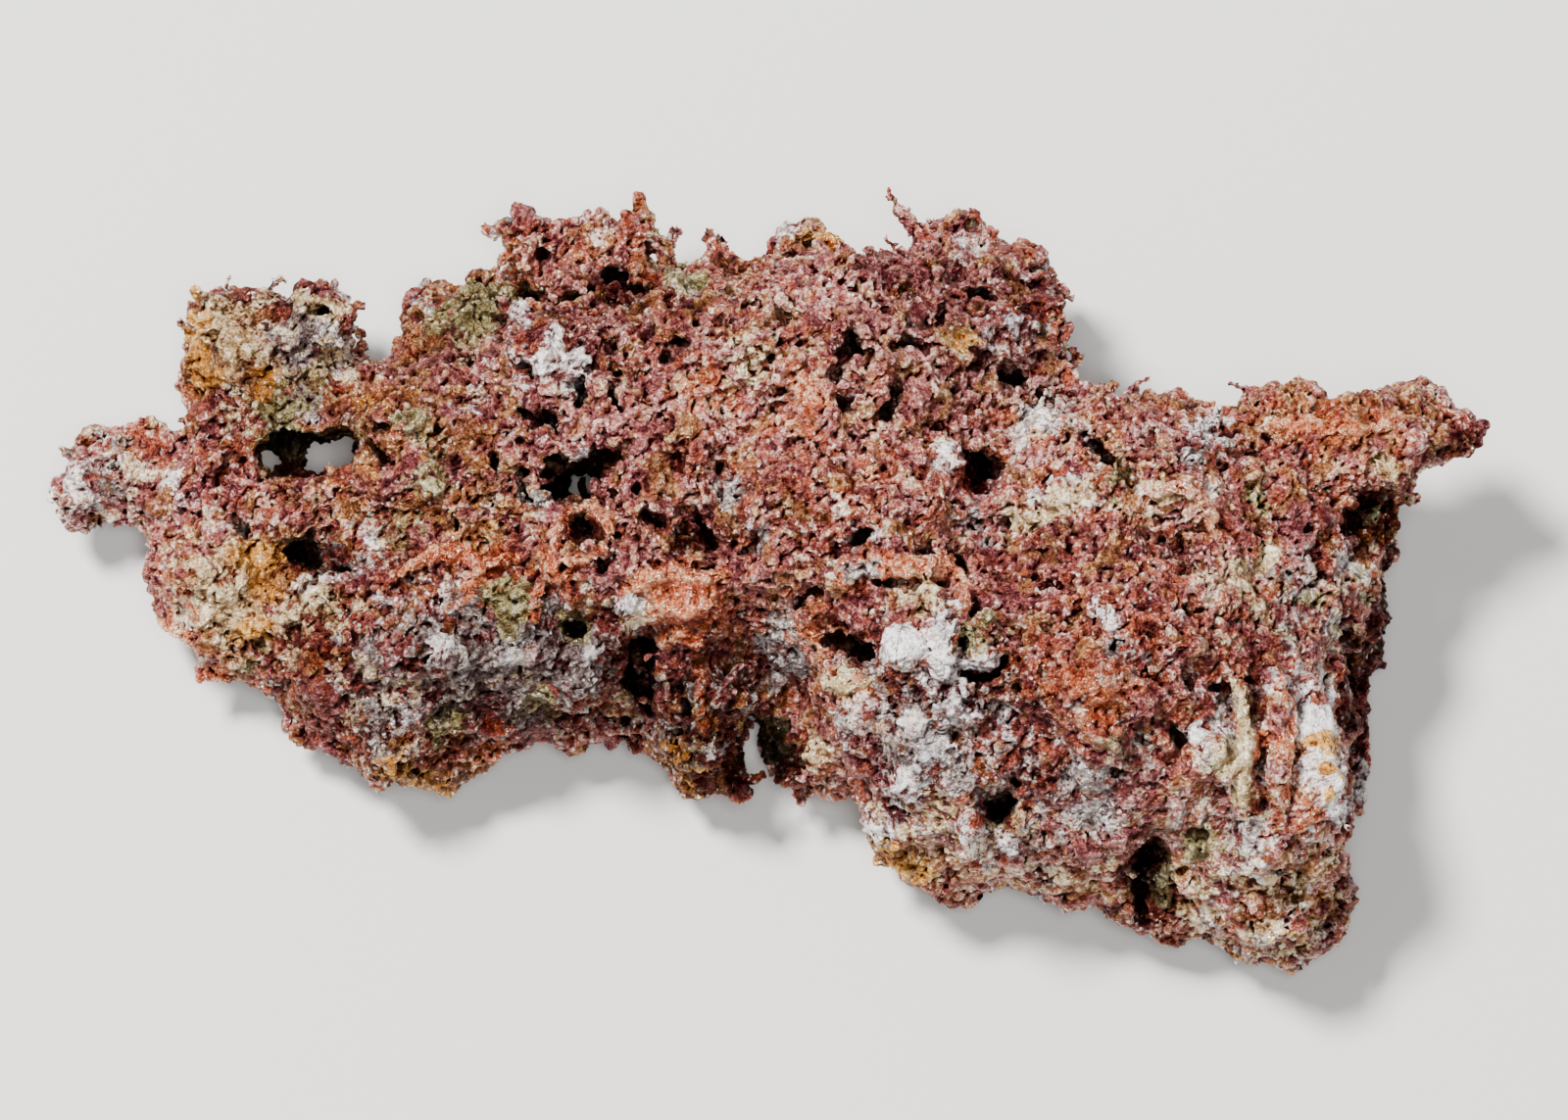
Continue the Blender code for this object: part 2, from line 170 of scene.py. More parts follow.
# What the stone and metal are made of, and where shade is painted, as patches seen along the line of
# sight:
# (x, y, half sizes along x and y, strength), in mm.
patches = {
    "quartz": [
        (-23.6, 13, 2, 3, 0.34), (22.5, 4.6, 2, 1.5, 0.42), (26.9, 1.1, 1.6, 0.5, 0.6),
        (-15, -5, 7, 5, 0.06), (-27, 12, 4.5, 4, 0.19), (8, -14, 5, 3, 0.21), (14, 17, 5, 4, 0.09),
        (25, -1, 7, 4, 0.11), (-38.6, 5, 1.9, 1.6, 0.61), (-35, 6.2, 1.2, 1.2, 0.41),
        (-32.5, 5, 1.2, 1, 0.41), (-23.3, 11.8, 1.2, 1.3, 0.38), (-25, 10, 1.4, 1.2, 0.27),
        (-28, 14.2, 1.9, 1.9, 0.33), (-24, 14.6, 1.9, 1.7, 0.27), (-18.5, 15.5, 1, 1, 0.34),
        (-9.3, 19.1, 1.1, 1.3, 0.68), (-11.7, 12.4, 1.2, 1.7, 0.68), (-10, 12.2, 1.2, 1.2, 0.48),
        (-12.5, 10.8, 1.2, 0.8, 0.48), (-15.5, 10.6, 1.4, 1.4, 0.34), (-12, 12, 3.2, 2.6, 0.35),
        (1.8, 19.8, 1, 1, 0.54), (11.6, 19.4, 1.7, 1.9, 0.34), (14, 13.5, 1.9, 1.4, 0.34),
        (10.6, 7, 1.2, 1.1, 0.68), (15.5, 8.3, 2, 1.9, 0.4), (-24.5, -0.2, 1.7, 1, 0.61),
        (-21.8, 2.5, 1.1, 0.8, 0.48), (-17.2, -3.8, 3.4, 1.8, 0.31), (-21, -0.8, 1.6, 1.2, 0.38),
        (-17, -0.5, 1.4, 1, 0.3), (-19, -7, 1.4, 1.2, 0.42), (-21.5, -8, 1.7, 1.4, 0.3),
        (-9.5, -5.5, 1.3, 2.6, 0.42), (-7.2, -1.3, 1.2, 1.2, 0.25), (-22.3, -10.8, 1.2, 1, 0.3),
        (-30.5, -2, 1.2, 1.4, 0.48), (-13, -4.4, 2.9, 2.2, 0.17), (-3.4, -6, 1.2, 2.9, 0.31),
        (12.3, -4.3, 0.9, 0.6, 0.6), (8, -7.5, 1.6, 1.2, 0.46), (10.8, -6.8, 1.9, 1.4, 0.52),
        (10, -9.6, 1.7, 1.4, 0.52), (8.2, -12, 1.7, 1.4, 0.46), (7, -13.7, 1.7, 1.2, 0.46),
        (12, -13.6, 1.2, 1.8, 0.58), (13.7, -14.3, 1.1, 1.7, 0.58), (5.4, -6.5, 1.9, 2.6, 0.35),
        (18.7, -1.5, 1, 1, 0.68), (22.5, 4.6, 2.4, 1.7, 0.41), (17, 5.5, 1.7, 1.9, 0.48),
        (24.5, 8.4, 1.1, 1, 0.54), (24.6, -9.3, 1.1, 2.6, 0.52), (31.1, -7.6, 0.8, 2, 1),
        (31, -11, 1.1, 3, 0.95), (32, -13, 1, 1, 0.8), (26.8, -15.8, 1.9, 1.4, 0.46),
        (24.6, -18.6, 1.7, 1.2, 0.41), (28.5, -21, 2.4, 0.8, 0.41), (18, -12, 4.5, 4, 0.34),
        (24, -11, 3, 5, 0.26), (33, 0.8, 1.2, 1.2, 0.48), (16, -17, 2.4, 1.2, 0.29),
        (29.6, -6, 1.4, 1.2, 0.35), (27.8, -5.2, 1.2, 1, 0.29), (5, 3.6, 2.4, 2.4, 0.2),
        (35, 6.7, 1.7, 1.1, 0.34), (28, -12, 5, 6, 0.26), (12, -9, 6, 5, 0.3),
    ],
    "cream": [
        (26.4, -7.6, 0.6, 1.6, 1), (26.5, -10.2, 0.55, 1.8, 1), (-29.4, 13.6, 2.4, 3, 0.68),
        (-25, 15.2, 3, 1.4, 0.6), (-29.6, -0.4, 3.2, 3.4, 0.6), (22.6, 4.4, 2, 1.6, 0.55),
        (26.6, 1, 1.8, 0.7, 0.75), (-27, 12.5, 4.6, 4, 0.42), (-28, -1, 5, 4.4, 0.4),
        (2, 11, 7, 4, 0.16), (9, 8, 6, 4, 0.13), (24, 4, 5, 3, 0.18), (28, -18, 7, 4.5, 0.4),
        (9, -14.5, 5, 3, 0.38), (34, 8, 5, 3, 0.17), (-37, 6, 3.6, 3, 0.36), (-12, 20, 5, 3, 0.12),
        (3, 3, 6, 2.4, 0.16), (-20, -6, 5, 4, 0.2), (16, -16.5, 6, 2, 0.3), (29, -1, 4, 3, 0.13),
        (25.5, -7, 3, 5, 0.22), (-28, 14.5, 1.7, 1.9, 0.61), (-26.5, 16, 1.7, 1, 0.61),
        (-1, 12, 1.9, 1.7, 0.54), (3, -9.8, 1.4, 1.2, 0.54), (-7.2, -1.3, 1.1, 1.1, 0.48),
        (-18.7, -8.5, 1.2, 1.2, 0.41), (26.3, -9.2, 0.7, 3.2, 1), (24.6, -18.6, 1.7, 1.2, 0.48),
        (29.5, 8.9, 1.9, 0.7, 0.48), (35, 2, 1, 0.7, 0.54), (26, 0.2, 2.9, 1.2, 0.41),
        (-34.3, 9, 1.2, 1.4, 0.34), (7, -13.7, 1.4, 1.2, 0.34), (5.4, -6.5, 1.9, 1.9, 0.34),
        (0, 12, 4, 3, 0.21), (-26, -2, 3, 2.4, 0.5), (15.5, 8.3, 1.9, 1.7, 0.34),
    ],
    "grey": [
        (-14.5, -4.5, 6.5, 4, 0.7), (-20, -7, 3, 2.6, 0.5), (-24.6, 12.6, 2.4, 4, 0.6),
        (-26.6, 10.2, 1.6, 1.6, 0.6), (1, -4.6, 1.2, 2, 0.6), (9, -9, 5, 4.5, 0.45),
        (18, -12.4, 3, 2.4, 0.55), (6.2, -5.6, 1.4, 1.2, 0.6), (25.2, -6.6, 1.4, 1.4, 0.6),
        (26, -14, 3, 2, 0.5), (30.4, -2.4, 2.4, 3, 0.45), (29.6, -6, 1, 1.6, 0.5),
        (24.8, 7.6, 2, 1, 0.4), (15.6, 8.8, 2, 1.6, 0.55), (12.6, 3.2, 2, 1.4, 0.45),
        (-36.6, 6, 2.8, 2.4, 0.45), (13, -15, 3, 2, 0.45), (-12.6, 4.2, 1.2, 1, 0.6),
        (-9.8, 6.8, 1, 1, 0.5), (-1.2, 4.8, 1, 0.8, 0.6), (-0.8, 2, 0.8, 1, 0.6),
        (5.8, 1.2, 1, 0.7, 0.6), (29.6, 0.6, 1.6, 0.8, 0.6), (19.6, -4.2, 1, 1, 0.5),
        (-18.8, -10.6, 5, 2, 0.3), (-5, -8, 3, 3.6, 0.35), (22, -9, 2, 1.4, 0.4),
        (28, -19.4, 5, 2.4, 0.4), (34, -15, 2, 4, 0.35), (14.4, 13.6, 1.8, 1.4, 0.35),
        (-4, -5.8, 2, 1.2, 0.5), (-23, 1.6, 3, 1.6, 0.4), (-29, 3.4, 3, 1.6, 0.3),
    ],
    "ochre": [
        (-31.6, 12.2, 1.2, 3, 0.6), (-27.6, 0.6, 1.2, 1.6, 0.7), (31.1, -8.9, 0.5, 0.5, 1.8),
        (31, -10.8, 0.6, 0.35, 1.8), (30.7, -12, 0.35, 0.6, 1.6), (-21, 9, 5, 4, 0.26),
        (-28, -1, 5, 4.4, 0.2), (28, -19, 7, 4, 0.22), (8, -15.5, 4, 1.6, 0.34),
        (-18, 15, 4, 2.4, 0.24), (-19, -11, 5, 2, 0.26), (-4, -10, 3, 3, 0.22), (32, 9, 5, 2.6, 0.24),
        (-17, 3, 5, 3, 0.2), (-32, 14, 0.8, 1.6, 0.9), (-30.4, 11.6, 1.1, 1.1, 1),
        (-27.8, 10.7, 0.7, 1, 0.8), (-28, 1, 1.4, 1, 1), (-27.5, -0.5, 1, 0.8, 0.9),
        (-28.5, -2.7, 1.6, 1, 0.8), (-18.3, -12.2, 2, 1, 1), (-20.2, -10.3, 1, 0.8, 0.7),
        (-5, -9.5, 0.8, 1, 0.8), (8, -15.7, 2.4, 1, 0.8), (5.5, -14.8, 0.9, 1, 1),
        (34.5, 2.8, 1, 0.5, 0.9), (-21.5, 10, 1, 1, 0.6), (-4, -11, 0.8, 0.8, 0.8),
        (25, -21.5, 2, 0.8, 0.7), (10.8, 13.4, 0.9, 0.9, 0.4), (4, 19, 1.4, 1.2, 0.5),
        (-16, 4, 2.4, 1.6, 0.4), (31, -10.7, 0.4, 0.4, 1.4), (30.8, -11.8, 0.4, 0.4, 1.2),
    ],
    "olive": [
        (-18, 15, 4.4, 2.6, 0.4), (-27, 10, 4, 3, 0.3), (-18, 4, 5, 4, 0.22), (-12, -7, 5, 4, 0.22),
        (-4, -9, 3, 4, 0.2), (31, -1, 4, 3, 0.3), (-26, 7.4, 1.4, 1.4, 1), (-26.9, 9.6, 0.9, 1.6, 0.9),
        (-23, 8, 1.2, 0.8, 0.7), (-16, 15.2, 2.2, 1.6, 0.9), (-19, 8.5, 1.4, 1.2, 0.7),
        (-18.5, 5.5, 1.4, 1, 0.7), (-5.3, 19.3, 0.5, 1, 1), (-4.5, 16.5, 1, 0.8, 0.9),
        (10.8, 13.4, 1, 1, 0.6), (19, 5.4, 1, 1, 0.8), (7.4, -16, 1.6, 0.8, 0.7),
        (-17.5, -8, 1, 1.4, 0.9), (-11.8, -7, 1, 1, 0.7), (-13.7, -1, 1.4, 1, 0.9),
        (-29, -5, 1.2, 1, 0.7), (0.8, -8.8, 1.4, 1, 1), (27.2, 4.8, 1.2, 1, 0.7),
        (22.3, -16.5, 0.8, 1.4, 0.8), (24.3, -14.5, 1, 1, 0.7), (-20, 3, 3, 2, 0.3),
        (-10.3, -2.7, 0.8, 0.8, 0.9), (31, -1, 1.2, 1, 0.6), (24, -13, 5, 6, 0.25),
        (-30, 13, 1, 1, 0.4),
    ],
    "orange": [
        (7.6, 0.75, 2.6, 0.5, 1.4), (9.4, 0.9, 1.2, 0.4, 1.4), (27.3, -10.2, 0.35, 1.6, 0.9),
        (28.6, -6, 0.9, 0.6, 0.9), (-21, 10, 5, 4, 0.3), (32, 8, 6, 3, 0.3), (-15, 0.4, 5, 2, 0.35),
        (27, -9, 3, 5, 0.25), (20, -5, 5, 4, 0.3), (-3.6, -1.6, 3.4, 2.4, 0.75),
        (7.6, 0.5, 3, 0.6, 1.2), (3, -2.5, 0.9, 1.6, 0.9), (-15, 1.2, 1.6, 0.8, 1),
        (-15, -1.2, 1.4, 0.6, 0.9), (-12.6, -2.2, 0.5, 0.8, 1), (-11, 0.7, 1, 0.6, 0.8),
        (-33, 0.5, 0.5, 1, 1), (-31.9, -1.4, 0.5, 0.9, 1), (-32.6, -2.9, 0.8, 0.5, 1),
        (-30.5, -5.3, 0.9, 0.8, 1), (-25, -3.8, 1.4, 1, 0.7), (-32.2, 10.5, 0.6, 1.2, 0.7),
        (-17, 16.8, 1.4, 0.5, 0.8), (-13.3, 15.8, 1, 1, 0.7), (-6.2, 16.8, 0.8, 0.8, 0.8),
        (-3.2, 11, 1.4, 1.2, 0.6), (2.4, 10.4, 1.6, 1.8, 0.6), (14.2, 18.5, 2, 1, 0.6),
        (16.3, 14.7, 1, 1, 0.7), (18, -5.6, 2.8, 2.2, 0.75), (9.2, -13, 0.5, 0.5, 1),
        (27.3, -10, 0.5, 1.6, 1), (28.5, -5.8, 0.7, 0.6, 0.9), (32.5, 8.8, 3, 1.2, 0.8),
        (-20, 13, 1, 0.8, 0.8), (30, -13.4, 0.6, 0.6, 1), (25, -21.5, 2, 0.7, 0.5),
        (-22, 10.5, 3, 1.6, 0.5), (-7, 22, 0.8, 1, 0.9), (-16, -9.5, 2, 1.6, 0.5), (29, 9, 1.4, 1, 0.7),
        (29.5, -8, 0.8, 4, 0.5),
    ],
    "pale": [
        (10, 8, 7, 5, 0.45), (-4, -1.6, 3.4, 2.6, 0.15), (4, 12, 8, 5, 0.35), (30, -10, 4, 6, 0.3),
        (18, -5, 4, 3, 0.1), (24, -10, 6, 6, 0.3), (22.6, 4.6, 2.4, 1.6, 0.9), (26, 0.3, 2.6, 1.2, 0.7),
        (-36, 7, 3, 3, 0.4), (0, 11, 5, 4, 0.5), (8, 8, 4, 3, 0.4), (13, 18.6, 3, 2.2, 0.4),
        (28, -5.2, 1.2, 1, 0.6), (13, -16.6, 2.4, 1, 0.7), (-9, 18, 2, 2, 0.3), (20, -14, 4, 4, 0.3),
        (34, 0.5, 1, 0.8, 0.6), (-30, 0, 3, 4, 0.4), (34, 7, 3, 2, 0.5),
    ],
    "plum": [
        (-25.8, -0.8, 1.6, 1, 0.8), (-14.5, -8, 2, 1.6, 0.5), (29.5, 2.4, 1.6, 1.2, 0.6),
        (23, 7.5, 1.4, 1, 0.6), (-37, 3, 2, 1.2, 0.5), (-4.4, -0.8, 3.2, 2.2, 0.9),
        (18, -5.4, 2.6, 2, 0.6), (-20, 11, 6, 4, 0.4), (-12, 8, 7, 5, 0.4), (-36, 4, 4, 2, 0.5),
        (10, 15, 7, 5, 0.4), (6.4, -1.2, 1.4, 0.5, 0.8), (32.6, -15, 1.4, 4, 0.5),
        (19, -12.5, 3, 2.4, 0.6), (7, -8.8, 1.4, 0.8, 0.8), (30, -5, 0.9, 0.9, 1),
        (-17, 13, 1.2, 1, 0.7), (12, 1.4, 3, 3, 0.3),
    ],
    # Painted shade and shadow: the shaded right flank, black gaps and crevices, and broader zones
    # painted darker.
    "dark": [
        (27, -6.2, 0.28, 1.8, 0.8), (25.7, -6.4, 0.3, 1, 0.6), (32.7, -8, 0.5, 1.6, 0.9),
        (34.4, 3.8, 2, 0.9, 1), (35.9, 1, 0.8, 2, 1), (35.3, -3, 0.8, 1.2, 1), (35.6, 2.6, 1, 1.8, 1),
        (35.4, 0, 1.1, 1.6, 0.95), (35.2, -2.4, 1, 1.4, 0.95), (-26.8, 9.8, 1.2, 1.6, 0.35),
        (32.6, -6, 0.5, 3.4, 0.8), (-24.5, 1.2, 1.8, 0.8, 0.8), (-9.8, 2.6, 1, 0.8, 0.8),
        (-4, 2.7, 1.4, 0.7, 0.8), (12.4, 5.6, 0.8, 1.2, 0.9), (34.8, 3.2, 2, 1.6, 0.9),
        (35, -1.4, 1.4, 2.6, 0.9), (-6.5, -4.8, 0.7, 1.9, 1), (0.2, -10.2, 1.6, 2, 0.9),
        (-7.6, 15.9, 1.8, 0.9, 0.8), (21.4, -16, 0.8, 2.2, 1), (13, -12.4, 0.6, 0.7, 0.9),
        (38.8, 7.8, 0.8, 0.7, 0.7), (-23, 8, 1.4, 0.6, 0.5), (33, -6.6, 0.7, 2.4, 0.7),
        (33.6, 3.6, 2, 0.8, 1), (36.6, 4.8, 0.9, 1, 0.7), (35.4, -0.6, 0.9, 2.4, 0.9),
        (35, -2.6, 0.8, 0.8, 0.8), (21.4, -19, 0.9, 0.6, 0.8), (19.4, -18.4, 1, 0.3, 0.8),
        (15, -18, 1.2, 0.4, 0.8), (-5.6, -6, 1, 1.6, 0.4), (-19, -10.5, 6, 3, 0.24),
        (-4, -8.5, 4.4, 5, 0.5), (-14, -6, 8, 4.6, 0.42), (-24, -6, 5, 4, 0.3), (-27, 12, 4.6, 4, 0.2),
        (12, 16, 6, 5, 0.2), (35, -3, 2.6, 8, 0.6), (-18, 15, 5, 3, 0.2), (9, -9, 5, 3, 0.24),
        (16, -9, 6, 6, 0.2), (-20, 8, 6, 5, 0.12), (33, -9, 2, 6, 0.3), (-8, 15, 6, 3, 0.15),
    ],
}

# Smoother ground, as the copper plates: (x, y, half sizes, strength).
calmGround = [
    (-4.6, -1, 2.6, 1.8, 1), (18, -5.6, 2.6, 1.8, 0.8), (26.5, 0.8, 2, 0.8, 0.8),
    (31, -10, 1.2, 4.4, 0.8), (7, -1.2, 1.2, 0.5, 0.7), (22, -13, 9, 8, 0.7), (29, -9, 5, 8, 0.7),
    (33, 8, 6, 4, 0.6), (9, -12, 5, 5, 0.62), (-28, 0, 5, 5, 0.62), (-27, 12, 5, 5, 0.6),
    (-37, 6, 4, 3, 0.6), (-18, 15, 4, 3, 0.55), (24, 2, 6, 4, 0.5), (-18, -7, 8, 5, 0.5),
]

# How open the sponge is: (x, y, half sizes, strength), seen along the line of sight.
openGround = [
    (3, 12, 16, 9.5, 1), (12, 12, 7, 9, 1), (-10, 16, 6, 5, 0.9), (-12, 8, 6, 6, 0.9),
    (-5, 3.4, 12, 3.4, 1), (20, 3, 9, 5, 0.6), (-20, 0, 10, 4, 0.5), (-18, -6, 9, 6, 0.35),
    (15, -6, 12, 8, 0.3), (24, -14, 10, 8, 0.22), (-2, -8, 5, 5, 0.6), (31, 6, 7, 4, 0.3),
    (-27, 8, 8, 8, 0.22), (-35, 5, 4, 4, 0.2), (-30, -1, 5, 5, 0.2),
]

# Cracks, slots and deep pores, each (radius, depth, the places it runs through), in mm.
gaps = {
    "upper left": [
        (0.7, 4, [(-13, 14.5), (-12, 15.2), (-11, 15.6), (-9.5, 15.9), (-8.4, 16.2), (-7, 15.8),
            (-6, 16.2)]),
        (0.5, 3, [(-9, 16), (-8.6, 17.2), (-7.6, 17.2)]),
        (0.35, 3, [(-6.2, 18.8), (-5.8, 17.6), (-6.2, 16.6)]),
        (0.4, 2.4, [(-13.2, 9.6), (-12.4, 8.8), (-11.6, 8.9), (-11.2, 8.2)]),
        (0.35, 2, [(-10, 10.8), (-9.9, 9.6)]), (0.35, 2, [(-8.2, 10.6), (-7.6, 9.2)]),
        (0.45, 2, [(-8, 11.6), (-7.4, 11.2)]), (0.5, 2, [(-8.2, 13), (-7.6, 12.9)]),
        (0.35, 2, [(-6.2, 14), (-6.4, 13.2)]), (0.35, 2, [(-4.7, 12.9), (-4, 12.9)]),
        (0.3, 2, [(-3.8, 15.1), (-4, 14.6)]), (0.6, 2.5, [(-8.8, 6.9), (-7.9, 6.7)]),
        (0.4, 2.2, [(-11.6, 5.9), (-10.8, 5.7), (-9.6, 6)]), (0.4, 2, [(-11.6, 6.9), (-10.9, 6.5)]),
        (0.55, 2.6, [(-12.2, 4.7), (-11.3, 4.6)]), (0.25, 2, [(-13.1, 5.6), (-13, 4.6)]),
        (0.3, 1.6, [(-14.7, 6.9), (-14.6, 6.3)]), (0.2, 1.4, [(-13.9, 6.2), (-12.8, 6.1)]),
        (0.3, 1.6, [(-17.6, 12.6), (-17.3, 12.4)]), (0.3, 1.6, [(-16.1, 12), (-15.8, 12)]),
        (0.5, 3, [(-9.7, 5.2), (-9, 5.4), (-8.6, 4.9), (-7.9, 4.3)]),
    ],
    "upper field": [
        (0.35, 2, [(-1.4, 13.6), (-1.2, 13.1)]), (0.35, 2, [(-2, 16.3), (-1.3, 16)]),
        (0.25, 1.6, [(-0.8, 15.2), (0.4, 15.2), (1.4, 15), (1.8, 15.6)]),
        (0.35, 2, [(-0.2, 14.9), (0.6, 14.5), (1.6, 14.2)]), (0.35, 3, [(-1, 18.3), (-0.6, 18.1)]),
        (0.35, 3, [(2.6, 18.9), (3, 18.6)]), (0.35, 3, [(1.4, 18.2), (2.4, 18.1)]),
        (0.4, 2.5, [(5.1, 13.6), (5.4, 12.6), (5.9, 12.2)]),
        (0.5, 2.2, [(4, 11.4), (4.8, 10.8), (5.4, 10.6), (4.6, 10.2)]),
        (0.3, 1.6, [(-5.6, 8.8), (-5, 9)]), (0.22, 1.5, [(-2.8, 7.4), (-2.3, 6.6), (-2.2, 5.8)]),
        (0.18, 1.2, [(-1.8, 8.2), (-0.4, 8.4)]),
        (0.18, 1.2, [(0.4, 6.2), (1.4, 6.1), (2.1, 6.2), (2.2, 6.8)]),
        (0.2, 1.4, [(3.2, 3.4), (4.4, 3.1)]), (0.3, 1.4, [(7, 9), (7.6, 8.8)]),
        (0.25, 1.4, [(6.2, 9.2), (6.4, 9)]),
    ],
    "crown": [
        (0.35, 5, [(11.9, 19.9), (11.9, 19.7)]),
        (0.45, 2.5, [(8, 14.4), (8.6, 14.2), (9.2, 14), (10, 14.4), (10.2, 14.9)]),
        (0.35, 2, [(8, 13.6), (8.4, 13.1), (9, 12.8)]), (0.3, 1.6, [(7.4, 13.1), (7.8, 13.2)]),
        (0.35, 2, [(11.2, 15.9), (12.4, 15.9), (13, 15.7)]),
        (0.4, 2.5, [(14, 15.8), (14.6, 16.2), (15.6, 16.2), (15.8, 16.6)]),
        (0.25, 1.6, [(10.6, 17), (11.4, 17), (12, 17.2)]), (0.4, 1.6, [(16.3, 14.9), (16.3, 14.5)]),
        (0.5, 2.6, [(13.6, 11.6), (14.4, 11.4), (14.5, 11)]),
        (0.4, 2, [(11.4, 11.8), (12.2, 12), (12.6, 12.4)]), (0.3, 1.6, [(11.6, 13), (12, 12.9)]),
        (0.25, 1.4, [(11.9, 14.3), (11.9, 14)]), (0.3, 1.6, [(10.8, 10.1), (10.9, 10.6)]),
        (0.4, 2, [(15.6, 10.5), (15.7, 10.2)]), (0.6, 2.4, [(12.4, 5.2), (12.2, 6.6)]),
    ],
    "shelf": [
        (0.65, 3, [(-9.5, 3.2), (-9.4, 2.3)]), (0.4, 2.4, [(-8.8, 1.5), (-8.5, 0.6)]),
        (0.55, 2.6, [(-6.2, 3.5), (-5.4, 3.1), (-5.2, 2.7)]),
        (0.5, 2.6, [(-3.4, 3.3), (-3, 2.6), (-2.5, 2)]),
        (0.22, 1.6, [(-5.8, 1), (-4.8, 0.9), (-4, 0.9), (-3.2, 0.6), (-2.4, 0.5)]),
        (0.2, 1.2, [(-4.6, 1.7), (-4, 1.8)]), (0.25, 1.6, [(-6.7, 5.2), (-6.6, 4.5)]),
        (0.4, 1.4, [(-0.5, 2.6), (-0.2, 1.2)]), (0.45, 2.4, [(4.9, 2.1), (5.8, 2.6)]),
        (0.35, 2.6, [(3.2, -0.6), (2.7, -0.3), (2.4, -0.8), (2.1, -1.4)]),
        (0.16, 1, [(-1.9, -1.1), (-1.3, -1.2), (-0.7, -1.1)]),
        (0.3, 2, [(8.2, 1.6), (9.4, 1.6), (10.6, 1.3)]), (0.35, 2, [(10.9, 1.1), (11.3, 0.5)]),
        (0.3, 1.4, [(6.4, 0.05), (8.2, -0.2), (10.2, -0.1)]),
    ],
    "arm": [
        (0.22, 1.2, [(-33.8, 3.6), (-33, 3.4)]), (0.45, 1.6, [(-29.2, 3.4), (-28.6, 2.8)]),
        (0.25, 1, [(-28.8, 4.7), (-28.7, 4.4)]), (0.25, 1, [(-27, 4.7), (-27, 4.4)]),
        (0.25, 1, [(-25.8, 5.2), (-25.8, 4.9)]), (0.25, 1, [(-23.5, 3.3), (-23.4, 3)]),
        (0.6, 2.6, [(-25.8, 1.6), (-25.1, 1.1), (-24.4, 0.7)]),
        (0.35, 1.6, [(-24.2, 0.7), (-22.8, 0.6)]),
        (0.35, 2.4, [(-24.5, 7.4), (-23.4, 7.2), (-22.6, 7.3)]), (0.25, 4, [(-21, 7), (-20.3, 6.4)]),
        (0.3, 2, [(-21.5, 7.6), (-20.8, 6.6)]),
        (0.16, 1, [(-25.2, 12.7), (-24.3, 12.3), (-23.4, 12.5)]),
        (0.25, 1, [(-29, 10.9), (-28.9, 10.7)]), (0.35, 1.4, [(-19.4, 11.5), (-19, 11.4)]),
        (0.35, 1.4, [(-21.8, 11.4), (-21.5, 11.4)]),
        (0.2, 1.2, [(-19.8, 9.6), (-19, 9.7), (-18.2, 9.6)]), (0.4, 1.6, [(-21.2, 8.6), (-20.8, 8.6)]),
        (0.3, 1.6, [(-16.7, 3.2), (-16.6, 2.8)]), (0.3, 1, [(-37.6, 3.4), (-36.4, 3.2), (-35.4, 3.2)]),
    ],
    "lower left": [
        (0.16, 1.2, [(-21, -1.8), (-19.8, -2)]), (0.4, 1.4, [(-26.3, -2.9), (-26, -2.9)]),
        (0.3, 1.2, [(-22.4, -3.2), (-22.1, -3.2)]), (0.6, 1.8, [(-10.6, -2.5), (-10, -2.7)]),
        (0.22, 1.8, [(-10.8, -3.4), (-10.6, -4.2), (-10.6, -5)]),
        (0.18, 1.4, [(-8.6, -0.5), (-8, -0.8)]), (0.22, 1.6, [(-8.2, -0.9), (-8.2, -2), (-7.7, -2.3)]),
        (0.65, 3.4, [(-6.8, -3.6), (-6.8, -4.6), (-6.6, -5.6), (-6.3, -6.6), (-6.2, -7.4)]),
        (0.35, 2, [(-4.3, -5.8), (-4, -7.2)]), (0.16, 1, [(-20, -7), (-20, -8.4)]),
        (0.3, 1.2, [(-19.4, -10.6), (-19, -10.6)]), (0.3, 1.2, [(-21.2, -10.5), (-20.9, -10.5)]),
    ],
    "round the big quartz": [
        (0.5, 3, [(4, -3.3), (4.8, -3.1), (5.3, -3.7), (5.9, -4.5)]),
        (0.3, 1.8, [(7.6, -5.5), (8.4, -5.8), (8.9, -6.3)]),
        (0.25, 1.8, [(10.3, -5.6), (10.2, -6.4), (10.3, -7)]),
        (0.3, 2.2, [(11.3, -1.9), (11.4, -2.9), (11.3, -4.2)]),
        (0.35, 2.4, [(11.2, -5.1), (12.2, -5.3), (13.2, -5), (13.5, -4.1)]),
        (0.25, 1.8, [(11.6, -1.8), (12.2, -1.4)]), (0.2, 1.2, [(4.1, -2.1), (4.3, -2.1)]),
        (0.16, 1, [(5.7, -4.9), (5.7, -6), (6, -6.8)]), (0.22, 1, [(1.2, -6.4), (1.4, -6.6)]),
        (0.9, 3.2, [(-0.6, -8.2), (-0.4, -9.4), (-0.2, -10.8), (0.6, -11.6)]),
    ],
    "front right": [
        (0.3, 1.8, [(15.4, -4.7), (15.5, -5.1)]), (0.3, 2, [(23, -4.6), (23.4, -5.4), (23.6, -6.3)]),
        (0.45, 1.6, [(22.5, -8), (22.9, -8.8)]), (0.2, 1.4, [(15, -7.6), (14.9, -8.4)]),
        (0.3, 1.6, [(13.8, -10.5), (13.8, -11.3)]), (0.2, 1.2, [(15.2, -10.2), (15.4, -10.9)]),
        (0.25, 1.4, [(16.6, -10.4), (17.4, -11.2)]), (0.3, 1.6, [(18.7, -10.3), (20.3, -10.5)]),
        (0.6, 2, [(12.9, -12.3), (13.6, -12.2), (12.8, -13.1)]),
        (0.16, 1, [(11.4, -15.2), (12, -16), (12, -16.4)]), (0.16, 1, [(18.6, -12), (18.9, -13)]),
